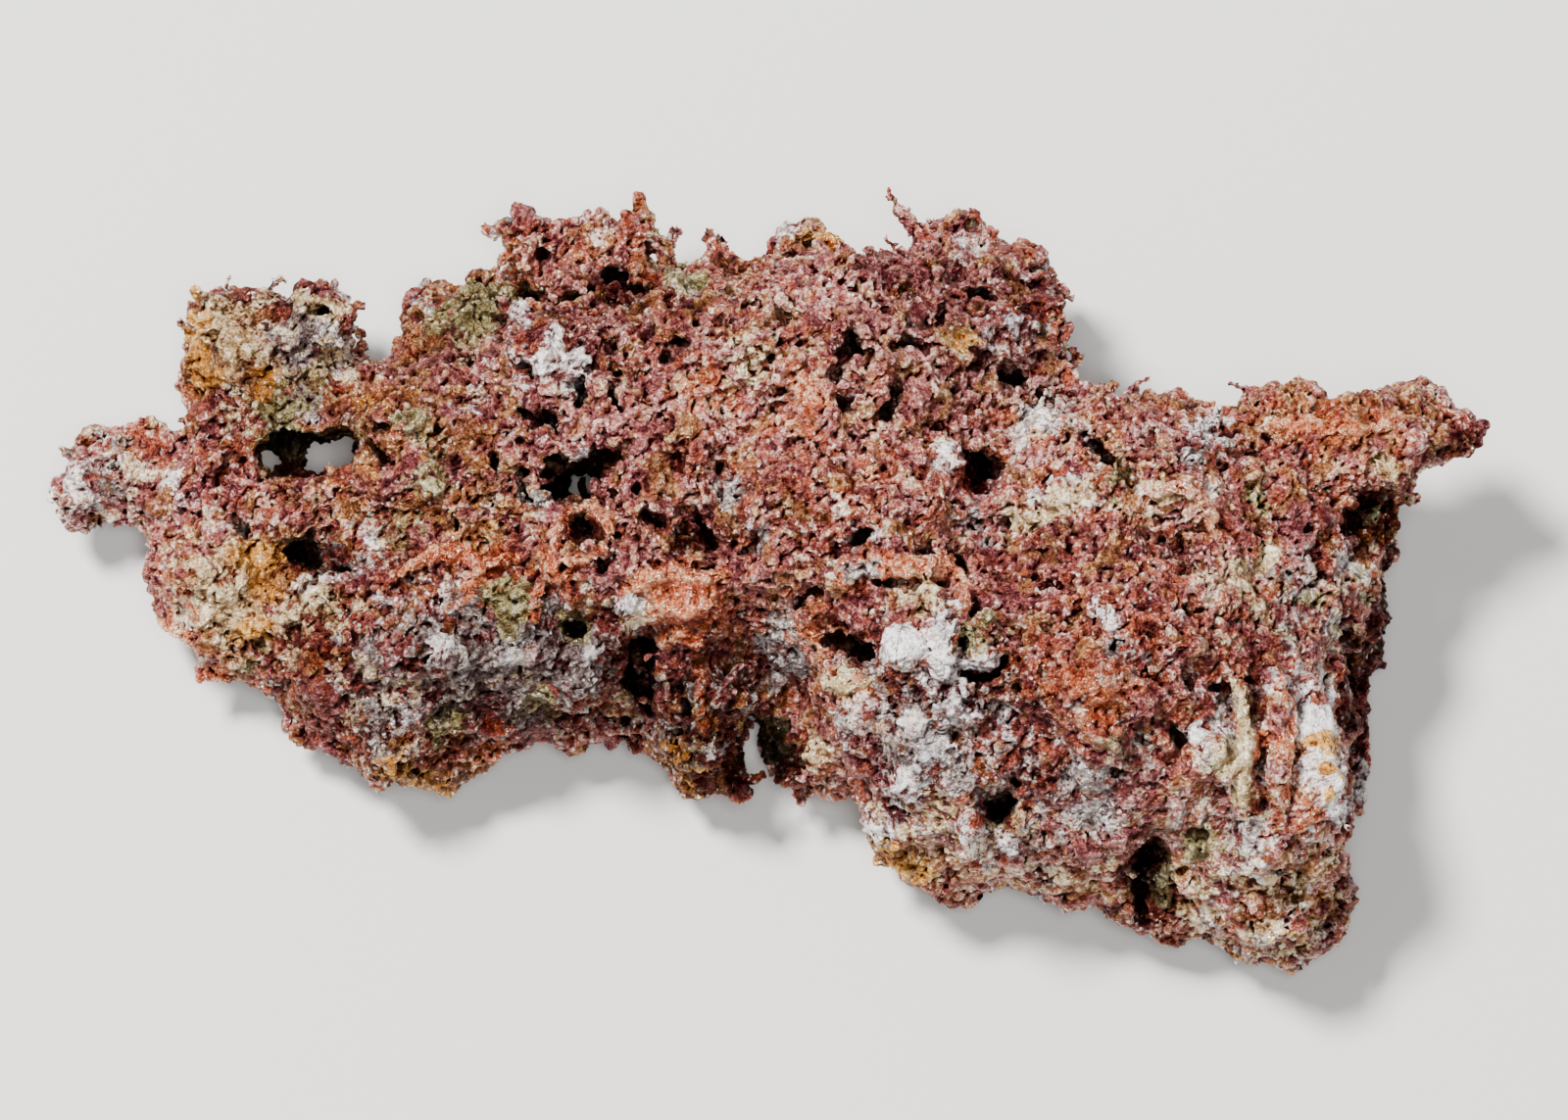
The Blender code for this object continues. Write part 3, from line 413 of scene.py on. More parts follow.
        (0.5, 3, [(21.3, -14.1), (21.6, -14.8), (21.3, -15.7), (20.8, -16.5), (21.2, -17.3),
            (21.2, -18.2)]),
        (0.22, 1.6, [(22.9, -10.9), (23.1, -12), (23.3, -13.2), (23.7, -13.9)]),
        (0.3, 1.4, [(24.3, -13.8), (24.4, -15.6)]), (0.16, 1, [(24.2, -16), (24.1, -17.6)]),
        (0.16, 1, [(26.2, -15.3), (27.6, -15.2)]), (0.28, 1.4, [(25, -19), (25.1, -19.4)]),
    ],
    "right": [
        (0.35, 2.4, [(21.9, 1.2), (22.4, 0.8), (23.2, 0.6), (24.2, 0.7)]),
        (0.35, 1.8, [(20.7, 2.7), (21.3, 2.5), (21.9, 2.2)]),
        (0.3, 2.2, [(30.3, 4.9), (30.5, 4.2), (30.6, 3.6)]),
        (0.4, 1.6, [(18.4, 7.2), (19, 6.8), (20, 6.4), (20.4, 5.2)]),
        (0.25, 1.4, [(17.8, 8), (18.3, 7.4)]),
        (0.16, 1, [(16.4, 1.1), (18.2, 0.9), (20, 0.7), (21.6, 0.8)]),
        (0.25, 1.4, [(16, 0), (17.2, -0.6)]), (0.25, 1.4, [(14.9, 0.5), (15.6, -0.2)]),
        (0.2, 1.2, [(24.5, 6.6), (25.8, 6.3)]), (0.25, 1.6, [(26.4, 5.6), (27.3, 5.3)]),
        (0.16, 1, [(24.4, 5.8), (25, 5), (26.4, 4.4), (28, 3.8)]),
        (0.18, 1.2, [(28.6, 6.4), (30, 6.4), (31.6, 5.8), (33.4, 5.4)]),
        (0.3, 1.4, [(27.7, 8.2), (28.1, 7.7)]), (0.25, 1.4, [(37.6, 7), (38.2, 7.6)]),
        (0.42, 2.2, [(32.5, -2.8), (32.7, -5), (32.8, -7), (32.8, -9), (32.7, -12)]),
        (0.2, 1.2, [(26.8, -4.8), (27, -7.6)]), (0.3, 1.4, [(26.4, -4.4), (27, -4.9)]),
    ],
    "grooves": [
        (0.34, 0.8, [(29.8, -5.4), (29.6, -8), (29.4, -11), (29.2, -13.4)]),
        (0.3, 0.8, [(25.5, -5.6), (25.5, -8), (25.7, -9.6)]),
        (0.3, 0.9, [(27.3, -5.6), (27.35, -8), (27.4, -10), (27.4, -12.6)]),
        (0.4, 0.6, [(23.6, -1), (24.4, -3), (25.4, -4.4)]), (0.4, 0.6, [(20.6, -8.6), (22.4, -9.6)]),
        (0.4, 0.5, [(34.6, 4.4), (35.6, 5.2)]), (0.5, 0.8, [(32.4, 2.9), (33.8, 3.6), (35.4, 4.2)]),
        (0.35, 0.5, [(4.6, -8.4), (5.4, -9)]), (0.4, 0.6, [(-32, 4.6), (-30.4, 5.6), (-29.8, 7)]),
        (0.4, 0.5, [(-22.6, 3.8), (-20.4, 3.4), (-18, 4)]),
    ],
}

# Rounded stones and knobs on the skin: (x, y, half sizes along x and y, how far it stands out).
lumps = {
    "quartz": [
        (7.9, -3.5, 1.4, 1.4, 0.5), (10, -3.4, 1.05, 1.9, 0.5), (9.2, -5.1, 0.8, 0.7, 0.3),
        (12.2, -4.1, 1, 0.6, 0.2), (4.2, -4.5, 0.65, 0.6, 0.3), (5.7, -7.1, 0.7, 0.6, 0.3),
        (-0.9, -6.9, 0.5, 0.45, 0.3), (-7.3, -1.2, 0.9, 0.75, 0.3), (11.6, -13.4, 0.75, 0.95, 0.2),
        (12.3, -14.6, 0.7, 0.7, 0.1), (13.7, -14.6, 0.8, 0.9, 0.1), (7.9, -11.4, 1.1, 0.8, 0.1),
        (24.6, -9.3, 0.8, 0.8, 0.2), (25.3, -10.3, 0.5, 0.8, 0.1), (24.6, -18.8, 0.45, 0.45, 0.3),
        (15.3, 8.6, 1, 0.9, 0.1), (24, 8.6, 0.6, 0.6, 0.2), (-11.9, 12.3, 0.9, 1.2, 0.1),
        (-10.2, 12.1, 0.8, 0.8, 0.1), (-23.3, -3.2, 0.55, 0.5, 0.2), (-16.6, -5.8, 0.5, 0.45, 0.2),
        (-26.4, -6.9, 0.7, 0.6, 0.1), (-19, -7.4, 0.9, 0.7, 0.1), (-9.6, -5.6, 0.8, 0.9, 0.1),
        (-9.7, -4, 0.7, 0.6, 0.1), (-13.4, -3.6, 1, 1.1, 0.1), (-17.8, -3.8, 1.6, 0.9, 0.1),
        (-2.6, -9.8, 0.9, 0.6, 0.2), (1.8, 19.5, 0.6, 0.6, 0.3), (-4.4, 16.4, 0.9, 0.8, 0.2),
        (11.3, -7, 0.9, 0.9, 0.1), (8.7, -7.8, 1, 0.9, 0.1),
    ],
    "cream": [
        (9.2, -1.1, 1.1, 0.9, 0.4), (16.9, 4.5, 1, 1.1, 0.2), (15.2, 3.4, 1.1, 0.7, 0.1),
        (4.4, -5.8, 1.1, 0.7, 0.2), (3, -9.7, 0.7, 0.9, 0.3), (0.8, -7.8, 0.4, 0.4, 0.3),
        (14.4, -13.3, 0.8, 0.9, 0.1), (34.6, 6.4, 1.7, 1.1, 0.1),
    ],
    "olive": [
        (12.2, -2.7, 1, 0.9, 0.3), (-13.2, -1, 1.3, 0.9, 0.3), (-26.2, 7, 1, 0.9, 0.3),
        (18.9, 5.4, 0.9, 0.6, 0.2), (-5.3, 19, 0.4, 0.9, 0.2), (6, -2.6, 0.6, 0.8, 0.2),
        (1.1, -9, 0.7, 0.6, -0.6), (-19.2, 8.8, 1.1, 0.9, 0.1), (0.2, -8.6, 0.5, 0.5, -0.8),
        (-17.4, -8, 0.8, 1, 0), (19, -8.6, 0.9, 0.8, 0.1),
    ],
    "orange": [
        (-33.7, 2.3, 0.5, 0.5, 0.2), (3.4, -1.6, 0.6, 1.1, 0.3), (4, 18.8, 1, 0.7, 0.2),
        (-3.5, 1.3, 1.1, 0.35, 0.4), (16.3, 14.7, 0.9, 0.9, 0.2), (-14.5, -8, 1.2, 0.9, 0),
        (18, -5.4, 2, 1.4, 0), (28.4, -15, 0.4, 0.4, 0.2),
    ],
}

# Thin copper strands, ridges and ledges as chains of (x, y, lift, radius); lift is above the skin.
strands = {
    "ledge": [
        (5.4, 0.9, 0.2, 0.34), (6.4, 0.75, 0.6, 0.38), (7.4, 0.7, 1, 0.4), (8.3, 0.55, 1.2, 0.42),
        (9.2, 0.75, 1.2, 0.42), (10.3, 0.85, 0.8, 0.38),
    ],
    "ledge back": [
        (4.6, 0.7, 0, 0.3), (5.2, 1.1, 0.1, 0.3), (6.6, 1.1, 0.4, 0.36), (7.6, 1.1, 0.8, 0.4),
        (8.6, 1.05, 0.9, 0.4), (9.6, 1.15, 0.8, 0.38), (10.5, 1.2, 0.4, 0.34),
    ],
    "ledge end": [
        (10.4, 1, 0.6, 0.3), (11, 0.4, 0.4, 0.28), (11.3, -0.6, 0.3, 0.26), (11.2, -1.6, 0.2, 0.24),
    ],
    "arch": [
        (-11.3, 1.8, 0.1, 0.26), (-11.1, 2.8, 0.3, 0.34), (-10.3, 3.9, 0.5, 0.3),
        (-9.3, 4.1, 0.3, 0.38), (-8.4, 3.4, 0.5, 0.28), (-8.1, 2.5, 0.2, 0.3),
    ],
    "bar": [(-10.4, 1.1, 0.2, 0.3), (-9.5, 1.3, 0.4, 0.32), (-8.6, 1.6, 0.3, 0.3)],
    "ridge": [
        (-20, 0.3, 0.1, 0.3), (-19.1, 0.9, 0.4, 0.34), (-17.8, 1.6, 0.6, 0.4), (-16.9, 1.5, 0.7, 0.4),
        (-16, 1.7, 0.4, 0.34),
    ],
    "second ridge": [
        (-16.4, -0.2, 0.3, 0.34), (-15.6, 0.5, 0.6, 0.36), (-14.8, 1, 0.7, 0.38),
        (-13.6, 1.2, 0.4, 0.34),
    ],
    "third ridge": [(-17.2, -1.5, 0.2, 0.32), (-15.8, -1.1, 0.6, 0.36), (-14.3, -0.7, 0.4, 0.34)],
    "drip": [
        (-12.1, -0.6, 0.5, 0.36), (-12.4, -1.5, 1, 0.36), (-12.8, -2.3, 1.1, 0.3),
        (-13.1, -2.9, 1, 0.22),
    ],
    "stub": [(-11.9, 1.5, 0.3, 0.34), (-11.4, 0.8, 0.5, 0.4), (-10.9, 0.3, 0.4, 0.36)],
    "plate edge": [
        (-7, -0.6, 0, 0.3), (-5.9, 0.2, 0.3, 0.36), (-4.6, 0.5, 0.4, 0.36), (-3.2, 0.2, 0.4, 0.36),
        (-2, 0.3, 0.2, 0.3),
    ],
    "plate ridge": [
        (-6.6, -2.2, 0.1, 0.28), (-5.2, -1.4, 0.3, 0.34), (-4, -1.8, 0.3, 0.34), (-2.8, -1.2, 0.2, 0.3),
    ],
    "plate fold": [(-5.6, -3.4, 0.1, 0.28), (-4.4, -3, 0.3, 0.32), (-3.4, -3.6, 0.2, 0.3)],
    "lip": [(-3.2, -5.2, 0, 0.34), (-3.4, -6.4, 0.3, 0.4), (-3.2, -7.8, 0.2, 0.34)],
    "bracket": [
        (3.2, -6.1, 0.2, 0.26), (3.7, -5.3, 0.6, 0.3), (4.7, -5, 0.8, 0.32), (5.5, -5.3, 0.6, 0.3),
        (5.8, -6.1, 0.2, 0.26),
    ],
    "shoulder": [
        (21.6, 4.8, 0.1, 0.3), (22.8, 5.2, 0.4, 0.34), (24, 4.6, 0.3, 0.34), (25, 3.6, 0.1, 0.3),
    ],
    "wing edge": [
        (28.6, 8.6, 0.1, 0.3), (30.4, 8.8, 0.3, 0.34), (32.4, 8.2, 0.3, 0.34), (34.4, 8.6, 0.1, 0.3),
    ],
    "tips": [(-33.4, -2.4, 0, 0.28), (-32.1, -3.1, 0.4, 0.3)],
}

# The upright ribs of the right block, as dull as what is round them.
ribs = {
    "column": [
        (26.3, -5.8, 0, 0.36), (26.4, -7.4, 0.1, 0.44), (26.5, -9.4, 0.2, 0.46),
        (26.4, -11.4, 0.1, 0.44), (26.6, -13, 0, 0.36),
    ],
    "rib": [
        (28.2, -4.6, 0, 0.36), (28.6, -6.2, 0.2, 0.42), (28.3, -8, 0.1, 0.36), (28.6, -9.8, 0.2, 0.42),
        (28.3, -12, 0, 0.34),
    ],
    "outer rib": [
        (33.9, -5.6, 0.1, 0.34), (33.8, -8, 0.3, 0.4), (33.8, -10.6, 0.2, 0.4), (33.6, -13, 0, 0.36),
    ],
}

# Winding chains: pores that go into the skin, and sprigs that stand out of it and curl back. Those
# with rim on grow only along the far edge.
worms = {
    "seed": 11, "count": 380, "length": 3.6, "radius": (0.2, 0.46), "steps": 8,
    "inwards": 0.3, "rim": False,
}
twigs = {
    "seed": 23, "count": 300, "length": 2.6, "radius": (0.17, 0.32), "steps": 8,
    "inwards": -1, "curl": 2.2, "rim": False,
}
fringe = {
    "seed": 31, "count": 300, "length": 2.5, "radius": (0.2, 0.36), "steps": 7,
    "inwards": -1, "curl": 1.5, "rim": True,
}

# The rough surface, in mm. A pair is the size and the height or depth of one kind of relief.
relief = {
    "coarseVoxel": 0.34,
    "fineVoxel": 0.196,
    "smallestIsland": 6000.0,  # in points; anything smaller hangs in the air
    "lump": (1.9, 0.9),
    "openness": 0.65,  # how much higher they stand where the sponge is open
    "crevice": (3.8, 1),
    "crack": (1.7, 0.4),
    "grain": (0.66, 0.5),
    "crumb": (0.36, 0.16),
    "twist": (0.7, 0.1),
    "sideways": 0.2,
}

# Each piece of the body: x from and to, in mm.
parts = {
    "left_arm": (-42, -17.2),
    "left_lobe": (-17.2, -5),
    "middle_field": (-5, 7.6),
    "crown_and_block": (7.6, 20.6),
    "right_block": (20.6, 42),
}


def evaluated(source):
    graph = bpy.context.evaluated_depsgraph_get()
    return bpy.data.meshes.new_from_object(source.evaluated_get(graph))


def fixed(made):
    # the object's modifiers applied
    mesh = evaluated(made)
    made.modifiers.clear()
    made.data = mesh
    return made


def meshFrom(bm, name):
    mesh = bpy.data.meshes.new(name)
    bm.to_mesh(mesh)
    bm.free()
    return linked(name, mesh)


def evenedOut(made, voxel, smoothing):
    even = made.modifiers.new("even", "REMESH")
    even.mode = "VOXEL"
    even.voxel_size = voxel * mm
    if smoothing:
        made.modifiers.new("soft", "SMOOTH").iterations = smoothing
    return fixed(made)


def roughen(made, tree):
    made.modifiers.new("rough", "NODES").node_group = tree
    return fixed(made)


def cutBy(made, tool, operation):
    cut = made.modifiers.new("cut", "BOOLEAN")
    cut.operation = operation
    cut.solver = "MANIFOLD"
    cut.object = tool
    return fixed(made)


def joined(pieces, name):
    # all of them as one new object; the first stays as it is and the others go
    bm = bmesh.new()
    for piece in pieces:
        bm.from_mesh(piece.data)
    for piece in pieces[1:]:
        bpy.data.objects.remove(piece)
    return meshFrom(bm, name)


def buildSkin():
    # a merged, evenly meshed copy of the solid
    bm = bmesh.new()
    bm.from_mesh(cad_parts["copper_nugget"].data)
    bmesh.ops.remove_doubles(bm, verts=bm.verts, dist=1e-6)
    return evenedOut(meshFrom(bm, "skin"), skin["voxel"], skin["smoothing"])


def surfacePoint(tree, x, y):
    start = onPlane(x, y) + sight * 60
    hit = tree.ray_cast(start * mm, -sight)[0]
    return hit / mm if hit else onPlane(x, y)


def shadeOf(tree, place, normal, rays):
    # the share of the sky that is hidden close by
    start = place + normal * 0.15 * mm
    hidden = 0
    for ray in rays:
        way = (ray + normal * 1.05).normalized()
        if tree.ray_cast(start, way, skin["shadeReach"] * mm)[0]:
            hidden += 1
    return hidden / len(rays)


def placedPatches(tree):
    # every patch with its height towards the eye; a lump brings a patch of its own stone
    placed = {}
    for kind, rows in [*patches.items(), ("open", openGround), ("calm", calmGround)]:
        own = [
            (x, y, rx * 1.1, ry * 1.1, min(0.85, 0.1 + rx * 0.6))
            for x, y, rx, ry, lift in lumps.get(kind, [])
        ]
        placed[kind] = [(seenAt(surfacePoint(tree, *row[:2]))[2], *row) for row in rows + own]
    return placed


def strengthAt(rows, x, y, high):
    # the strongest patch here, each fading outwards and with its distance in depth
    total = 0
    for patchHigh, px, py, rx, ry, most in rows:
        if abs(x - px) < rx * 1.7 and abs(y - py) < ry * 1.7:
            reach = ((x - px) / rx) ** 2 + ((y - py) / ry) ** 2
            near = max(0, 1 - (max(0, abs(high - patchHigh) - 4) / 6))
            total = max(total, most * near * math.exp(-(reach**1.5) * 0.7))
    return total


# What the sides turned away are made of, from three noises of (size, start), as
# (weight of each noise, base, most).
hiddenNoises = [(7, (3, 1, 9)), (2.8, (5, 2, 1)), (5, (9, 7, 2))]
hiddenStone = {
    "quartz": (0.7, 0.7, 0, 0, 0.38),
    "grey": (1.5, 0, 0, 0.1, 0.6),
    "cream": (-0.3, 0.9, 0, 0, 0.4),
    "ochre": (0, 0, 1.3, -0.2, 0.36),
    "orange": (0, 0, -1.4, -0.1, 9),
    "olive": (-1.2, 0, 0, -0.1, 0.45),
    "plum": (0, -1.5, 0, 0, 9),
    "open": (0, 0, 0, 0.4, 0.4),
}


def paintSkin(made):
    mesh = made.data
    tree = BVHTree.FromPolygons([v.co for v in mesh.vertices], [p.vertices for p in mesh.polygons])
    noise.seed_set(skin["raySeed"])
    rays = [noise.random_unit_vector() for turn in range(skin["shadeRays"])]
    noise.seed_set(4)
    placed = placedPatches(tree)
    weights = {kind: [0.0] * len(mesh.vertices) for kind in [*placed, "shade"]}
    for vertex in mesh.vertices:
        spot = vertex.index
        place = vertex.co / mm
        x, y, high = seenAt(place)
        facing = min(1, max(0, (vertex.normal.dot(sight) + 0.35) / 0.5))
        wobble = noise.noise_vector(place / 2.6) + noise.noise_vector(place / 0.9) * 0.5
        for kind, rows in placed.items():
            weights[kind][spot] = strengthAt(rows, x + wobble.x, y + wobble.y, high) * facing
        # the share of hidden sky, later painted into the colour as shade
        weights["shade"][spot] = shadeOf(tree, vertex.co, vertex.normal, rays)
        if facing < 1:
            levels = [noise.noise(place / size + Vector(start)) for size, start in hiddenNoises]
            for kind, (first, second, third, base, most) in hiddenStone.items():
                amount = first * levels[0] + second * levels[1] + third * levels[2] + base
                weights[kind][spot] += (1 - facing) * max(0, min(most, amount))
    for kind, values in weights.items():
        mesh.attributes.new(kind, "FLOAT", "POINT").data.foreach_set("value", values)
    return tree


def newTree(name):
    tree = bpy.data.node_groups.new(name, "GeometryNodeTree")
    tree.interface.new_socket("Geometry", in_out="INPUT", socket_type="NodeSocketGeometry")
    tree.interface.new_socket("Geometry", in_out="OUTPUT", socket_type="NodeSocketGeometry")
    tree.nodes.new("NodeGroupInput")
    tree.nodes.new("NodeGroupOutput")
    return tree


def inputMesh(tree):
    return tree.nodes["Group Input"].outputs[0]


def finished(tree, geometry):
    tree.links.new(geometry, tree.nodes["Group Output"].inputs[0])
    return tree


def meshOf(tree, source):
    return addNode(tree, "GeometryNodeObjectInfo", {"Object": source}).outputs["Geometry"]


def placeNodes(tree):
    # the position in metres and in mm
    spot = addNode(tree, "GeometryNodeInputPosition").outputs[0]
    return spot, scaled(tree, spot, 1 / mm)


def normalOf(tree):
    return addNode(tree, "GeometryNodeInputNormal").outputs[0]


def outwards(tree, push):
    # a step of so many mm along the normal
    return scaled(tree, normalOf(tree), times(tree, push, mm))


def displaced(tree, offset):
    links = {"Geometry": inputMesh(tree), "Offset": offset}
    return finished(tree, addNode(tree, "GeometryNodeSetPosition", links).outputs[0])


def named(tree, name):
    links = {"Name": name}
    return addNode(tree, "GeometryNodeInputNamedAttribute", links, data_type="FLOAT").outputs[0]


def nearestOn(tree, source, value, spot, dataType):
    links = {"Mesh": source, "Value": value, "Sample Position": spot}
    return addNode(tree, "GeometryNodeSampleNearestSurface", links, data_type=dataType).outputs[0]


def sampled(tree, source, name, spot):
    return nearestOn(tree, source, named(tree, name), spot, "FLOAT")


def stored(tree, geometry, name, value):
    links = {"Geometry": geometry, "Name": name, "Value": value}
    kind = "GeometryNodeStoreNamedAttribute"
    return addNode(tree, kind, links, data_type="FLOAT", domain="POINT").outputs[0]


def closest(tree, source, spot):
    links = {0: source, "Source Position": spot}
    return addNode(tree, "GeometryNodeProximity", links, target_element="FACES").outputs


def chainBeads(ends):
    # beads close together along a chain of (place, radius)
    beads = []
    for (start, startSize), (end, endSize) in zip(ends, ends[1:]):
        count = max(1, round((end - start).length / (min(startSize, endSize) * 0.7)))
        for step in range(count + 1):
            way = step / count
            beads.append((start.lerp(end, way), startSize + (endSize - startSize) * way))
    return beads


def beadObject(name, chains):
    # a little ball on every bead, as one mesh
    bm = bmesh.new()
    size = bm.verts.layers.float.new("radius")
    for chain in chains:
        for place, radius in chainBeads(chain):
            bm.verts.new(place * mm)[size] = radius
    made = meshFrom(bm, name)
    tree = newTree("balls")
    links = {"Radius": mm, "Subdivisions": 2}
    ball = addNode(tree, "GeometryNodeMeshIcoSphere", links).outputs[0]
    links = {"Points": inputMesh(tree), "Instance": ball, "Scale": named(tree, "radius")}
    balls = addNode(tree, "GeometryNodeInstanceOnPoints", links).outputs[0]
    solid = addNode(tree, "GeometryNodeRealizeInstances", {0: balls}).outputs[0]
    return roughen(made, finished(tree, solid))


def wander(mesh, settings):
    # chains that wind from points on the skin, into it or along it
    inwards = settings["inwards"]
    random.seed(settings["seed"])
    faces = list(mesh.polygons)
    odds = [point.value for point in mesh.attributes["open"].data]
    chains = []
    while len(chains) < settings["count"]:
        face = random.choice(faces)
        centre = face.center / mm
        normal = Vector(face.normal)
        if random.random() > odds[face.vertices[0]] or centre.z < 2:
            continue
        if settings["rim"] and (normal.dot(upward) < 0.3 or abs(normal.dot(sight)) > 0.5):
            continue
        thick = random.uniform(*settings["radius"])
        side = normal.cross(noise.random_unit_vector()).normalized()
        way = (side * 0.9 - normal * inwards).normalized()
        place = centre + normal * (0.3 if inwards > 0 else -0.7)
        chain = []
        stride = settings["length"] * random.uniform(0.6, 1.2) / settings["steps"]
        for step in range(settings["steps"]):
            share = step / (settings["steps"] - 1)
            swell = 0.75 + 0.5 * random.random()
            chain.append((place.copy(), thick * swell))
            bend = noise.noise_vector(place / 1.1 + Vector((settings["seed"], 0, 0))) * 1.3
            lift = -inwards if inwards > 0 else 0.9 - settings["curl"] * share
            way = (way * 0.7 + bend + normal * lift * 0.5).normalized()
            place = place + way * stride
        chains.append(chain)
    return chains


def alongLine(points, step):
    # places evenly along a line of points on the plane of sight
    placed = [points[0]]
    for (x, y), (nextX, nextY) in zip(points, points[1:]):
        count = max(1, round(math.hypot(nextX - x, nextY - y) / step))
        for turn in range(1, count + 1):
            placed.append((x + (nextX - x) * turn / count, y + (nextY - y) * turn / count))
    return placed


# The pores as balls in a row downwards: how many, how far above the skin they start, and how finely
# they are meshed.
pore = {"balls": 6, "above": 0.7, "voxel": 0.17}


def poreChain(tree, x, y, radius, depth):
    top = surfacePoint(tree, x, y)
    swell = radius * (1 + noise.noise(Vector((x, y, 5)) * 1.4) * 0.5)
    deeper = depth * (0.8 + random.random() * 0.3)
    chain = []
    for step in range(pore["balls"]):
        way = step / (pore["balls"] - 1)
        drift = noise.noise_vector(Vector((x / 1.5, y / 1.5, way * 2))) * 0.6 * way
        down = pore["above"] - way * (deeper + pore["above"])
        chain.append((top + sight * down + drift, swell * (1.05 - 0.3 * way)))
    return chain


def gapCutter(tree, mesh):
    chains = wander(mesh, worms)
    for area in gaps.values():
        for radius, depth, points in area:
            for x, y in alongLine(points, max(0.2, radius * 0.8)):
                chains.append(poreChain(tree, x, y, radius, depth))
    made = evenedOut(beadObject("pores", chains), pore["voxel"], 0)
    return roughen(made, jaggedTree())


def lumpObject(tree):
    bm = bmesh.new()
    for rows in lumps.values():
        for x, y, rx, ry, lift in rows:
            deep = min(rx, ry)
            place = surfacePoint(tree, x, y) + sight * (lift - deep * 0.4)
            turned = Matrix((across * rx, upward * ry, sight * deep)).transposed().to_4x4()
            bmesh.ops.create_icosphere(
                bm, subdivisions=3, radius=mm, matrix=Matrix.Translation(place * mm) @ turned
            )
    return meshFrom(bm, "lumps")


def jaggedTree():
    tree = newTree("jagged")
    place = placeNodes(tree)[1]
    push = calc(tree, "MULTIPLY_ADD", cloud(tree, place, 0.6, 3, 0.65), 1.1, -0.5)
    return displaced(tree, outwards(tree, push))


def valley(tree, place, size, width):
    # 1 along winding lines where the noise crosses its middle
    level = calc(tree, "ABSOLUTE", calc(tree, "SUBTRACT", cloud(tree, place, size, 2), 0.5))
    return calc(tree, "SUBTRACT", 1, rise(tree, level, 0, width, soft=False))


def calmness(tree, source, spot):
    # 1 on the smooth stone, 0 on the crumbly copper
    level = sampled(tree, source, "quartz", spot)
    for name in ("cream", "calm"):
        level = larger(tree, level, sampled(tree, source, name, spot))
    return rise(tree, level, 0.35, 0.9)


def footing(tree, place):
    # the flats it rests on stay level
    return rise(tree, split(tree, place)[2], 0.1, 0.7)


def coarseTree(skinObject):
    tree = newTree("coarse")
    spot, place = placeNodes(tree)
    source = meshOf(tree, skinObject)
    twist = warped(tree, place, 1.8, 0.6, 2)
    size, height = relief["lump"]
    clumps = cells(tree, twist, size).outputs["Distance"]
    push = calc(tree, "MULTIPLY_ADD", clumps, -height, height * 0.5)
    airy = sampled(tree, source, "open", spot)
    push = times(tree, push, calc(tree, "MULTIPLY_ADD", airy, relief["openness"], 1))
    size, depth = relief["crevice"]
    lines = valley(tree, twist, size, 0.035)
    lines = times(tree, lines, rise(tree, cloud(tree, place, 5), 0.42, 0.58))
    push = calc(tree, "SUBTRACT", push, times(tree, lines, depth))
    calm = calmness(tree, source, spot)
    push = times(tree, push, calc(tree, "MULTIPLY_ADD", calm, -0.6, 1))
    return displaced(tree, outwards(tree, times(tree, push, footing(tree, place))))


def fineTree(skinObject):
    tree = newTree("fine")
    spot, place = placeNodes(tree)
    twist = warped(tree, place, *relief["twist"], 2)
    size, height = relief["grain"]
    grain = cells(tree, twist, size, "CHEBYCHEV").outputs["Distance"]
    push = calc(tree, "MULTIPLY_ADD", grain, -height, height * 0.45)
    size, depth = relief["crack"]
    push = calc(tree, "SUBTRACT", push, times(tree, valley(tree, twist, size, 0.04), depth))
    size, height = relief["crumb"]
    crumbs = cloud(tree, twist, size, 2, 0.6)
    push = calc(tree, "ADD", push, calc(tree, "MULTIPLY_ADD", crumbs, height * 3, -height * 1.5))
    calm = calmness(tree, meshOf(tree, skinObject), spot)
    push = times(tree, push, calc(tree, "MULTIPLY_ADD", calm, -0.55, 1))
    side = vectorMath(tree, "SUBTRACT", twist, place)
    side = scaled(tree, side, relief["sideways"] * mm)
    offset = vectorMath(tree, "ADD", outwards(tree, push), side)
    return displaced(tree, scaled(tree, offset, footing(tree, place)))


def skinDepth(tree, source, spot):
    # distance below the skin in mm, negative outside
    near = closest(tree, source, spot)
    facing = nearestOn(tree, source, normalOf(tree), spot, "FLOAT_VECTOR")
    away = vectorMath(tree, "SUBTRACT", near["Position"], spot)
    side = vectorMath(tree, "DOT_PRODUCT", away, facing, "Value")
    return times(tree, calc(tree, "SIGN", side), times(tree, near["Distance"], 1 / mm))


def looseCrumbs(tree):
    # the points of islands too small to be the body
    island = addNode(tree, "GeometryNodeInputMeshIsland").outputs["Island Index"]
    links = {"Value": 1.0, "Group ID": island}
    kind = "GeometryNodeAccumulateField"
    total = addNode(tree, kind, links, data_type="FLOAT", domain="POINT").outputs["Total"]
    links = {0: total, 1: relief["smallestIsland"]}
    kind = "FunctionNodeCompare"
    return addNode(tree, kind, links, operation="LESS_THAN", data_type="FLOAT").outputs[0]


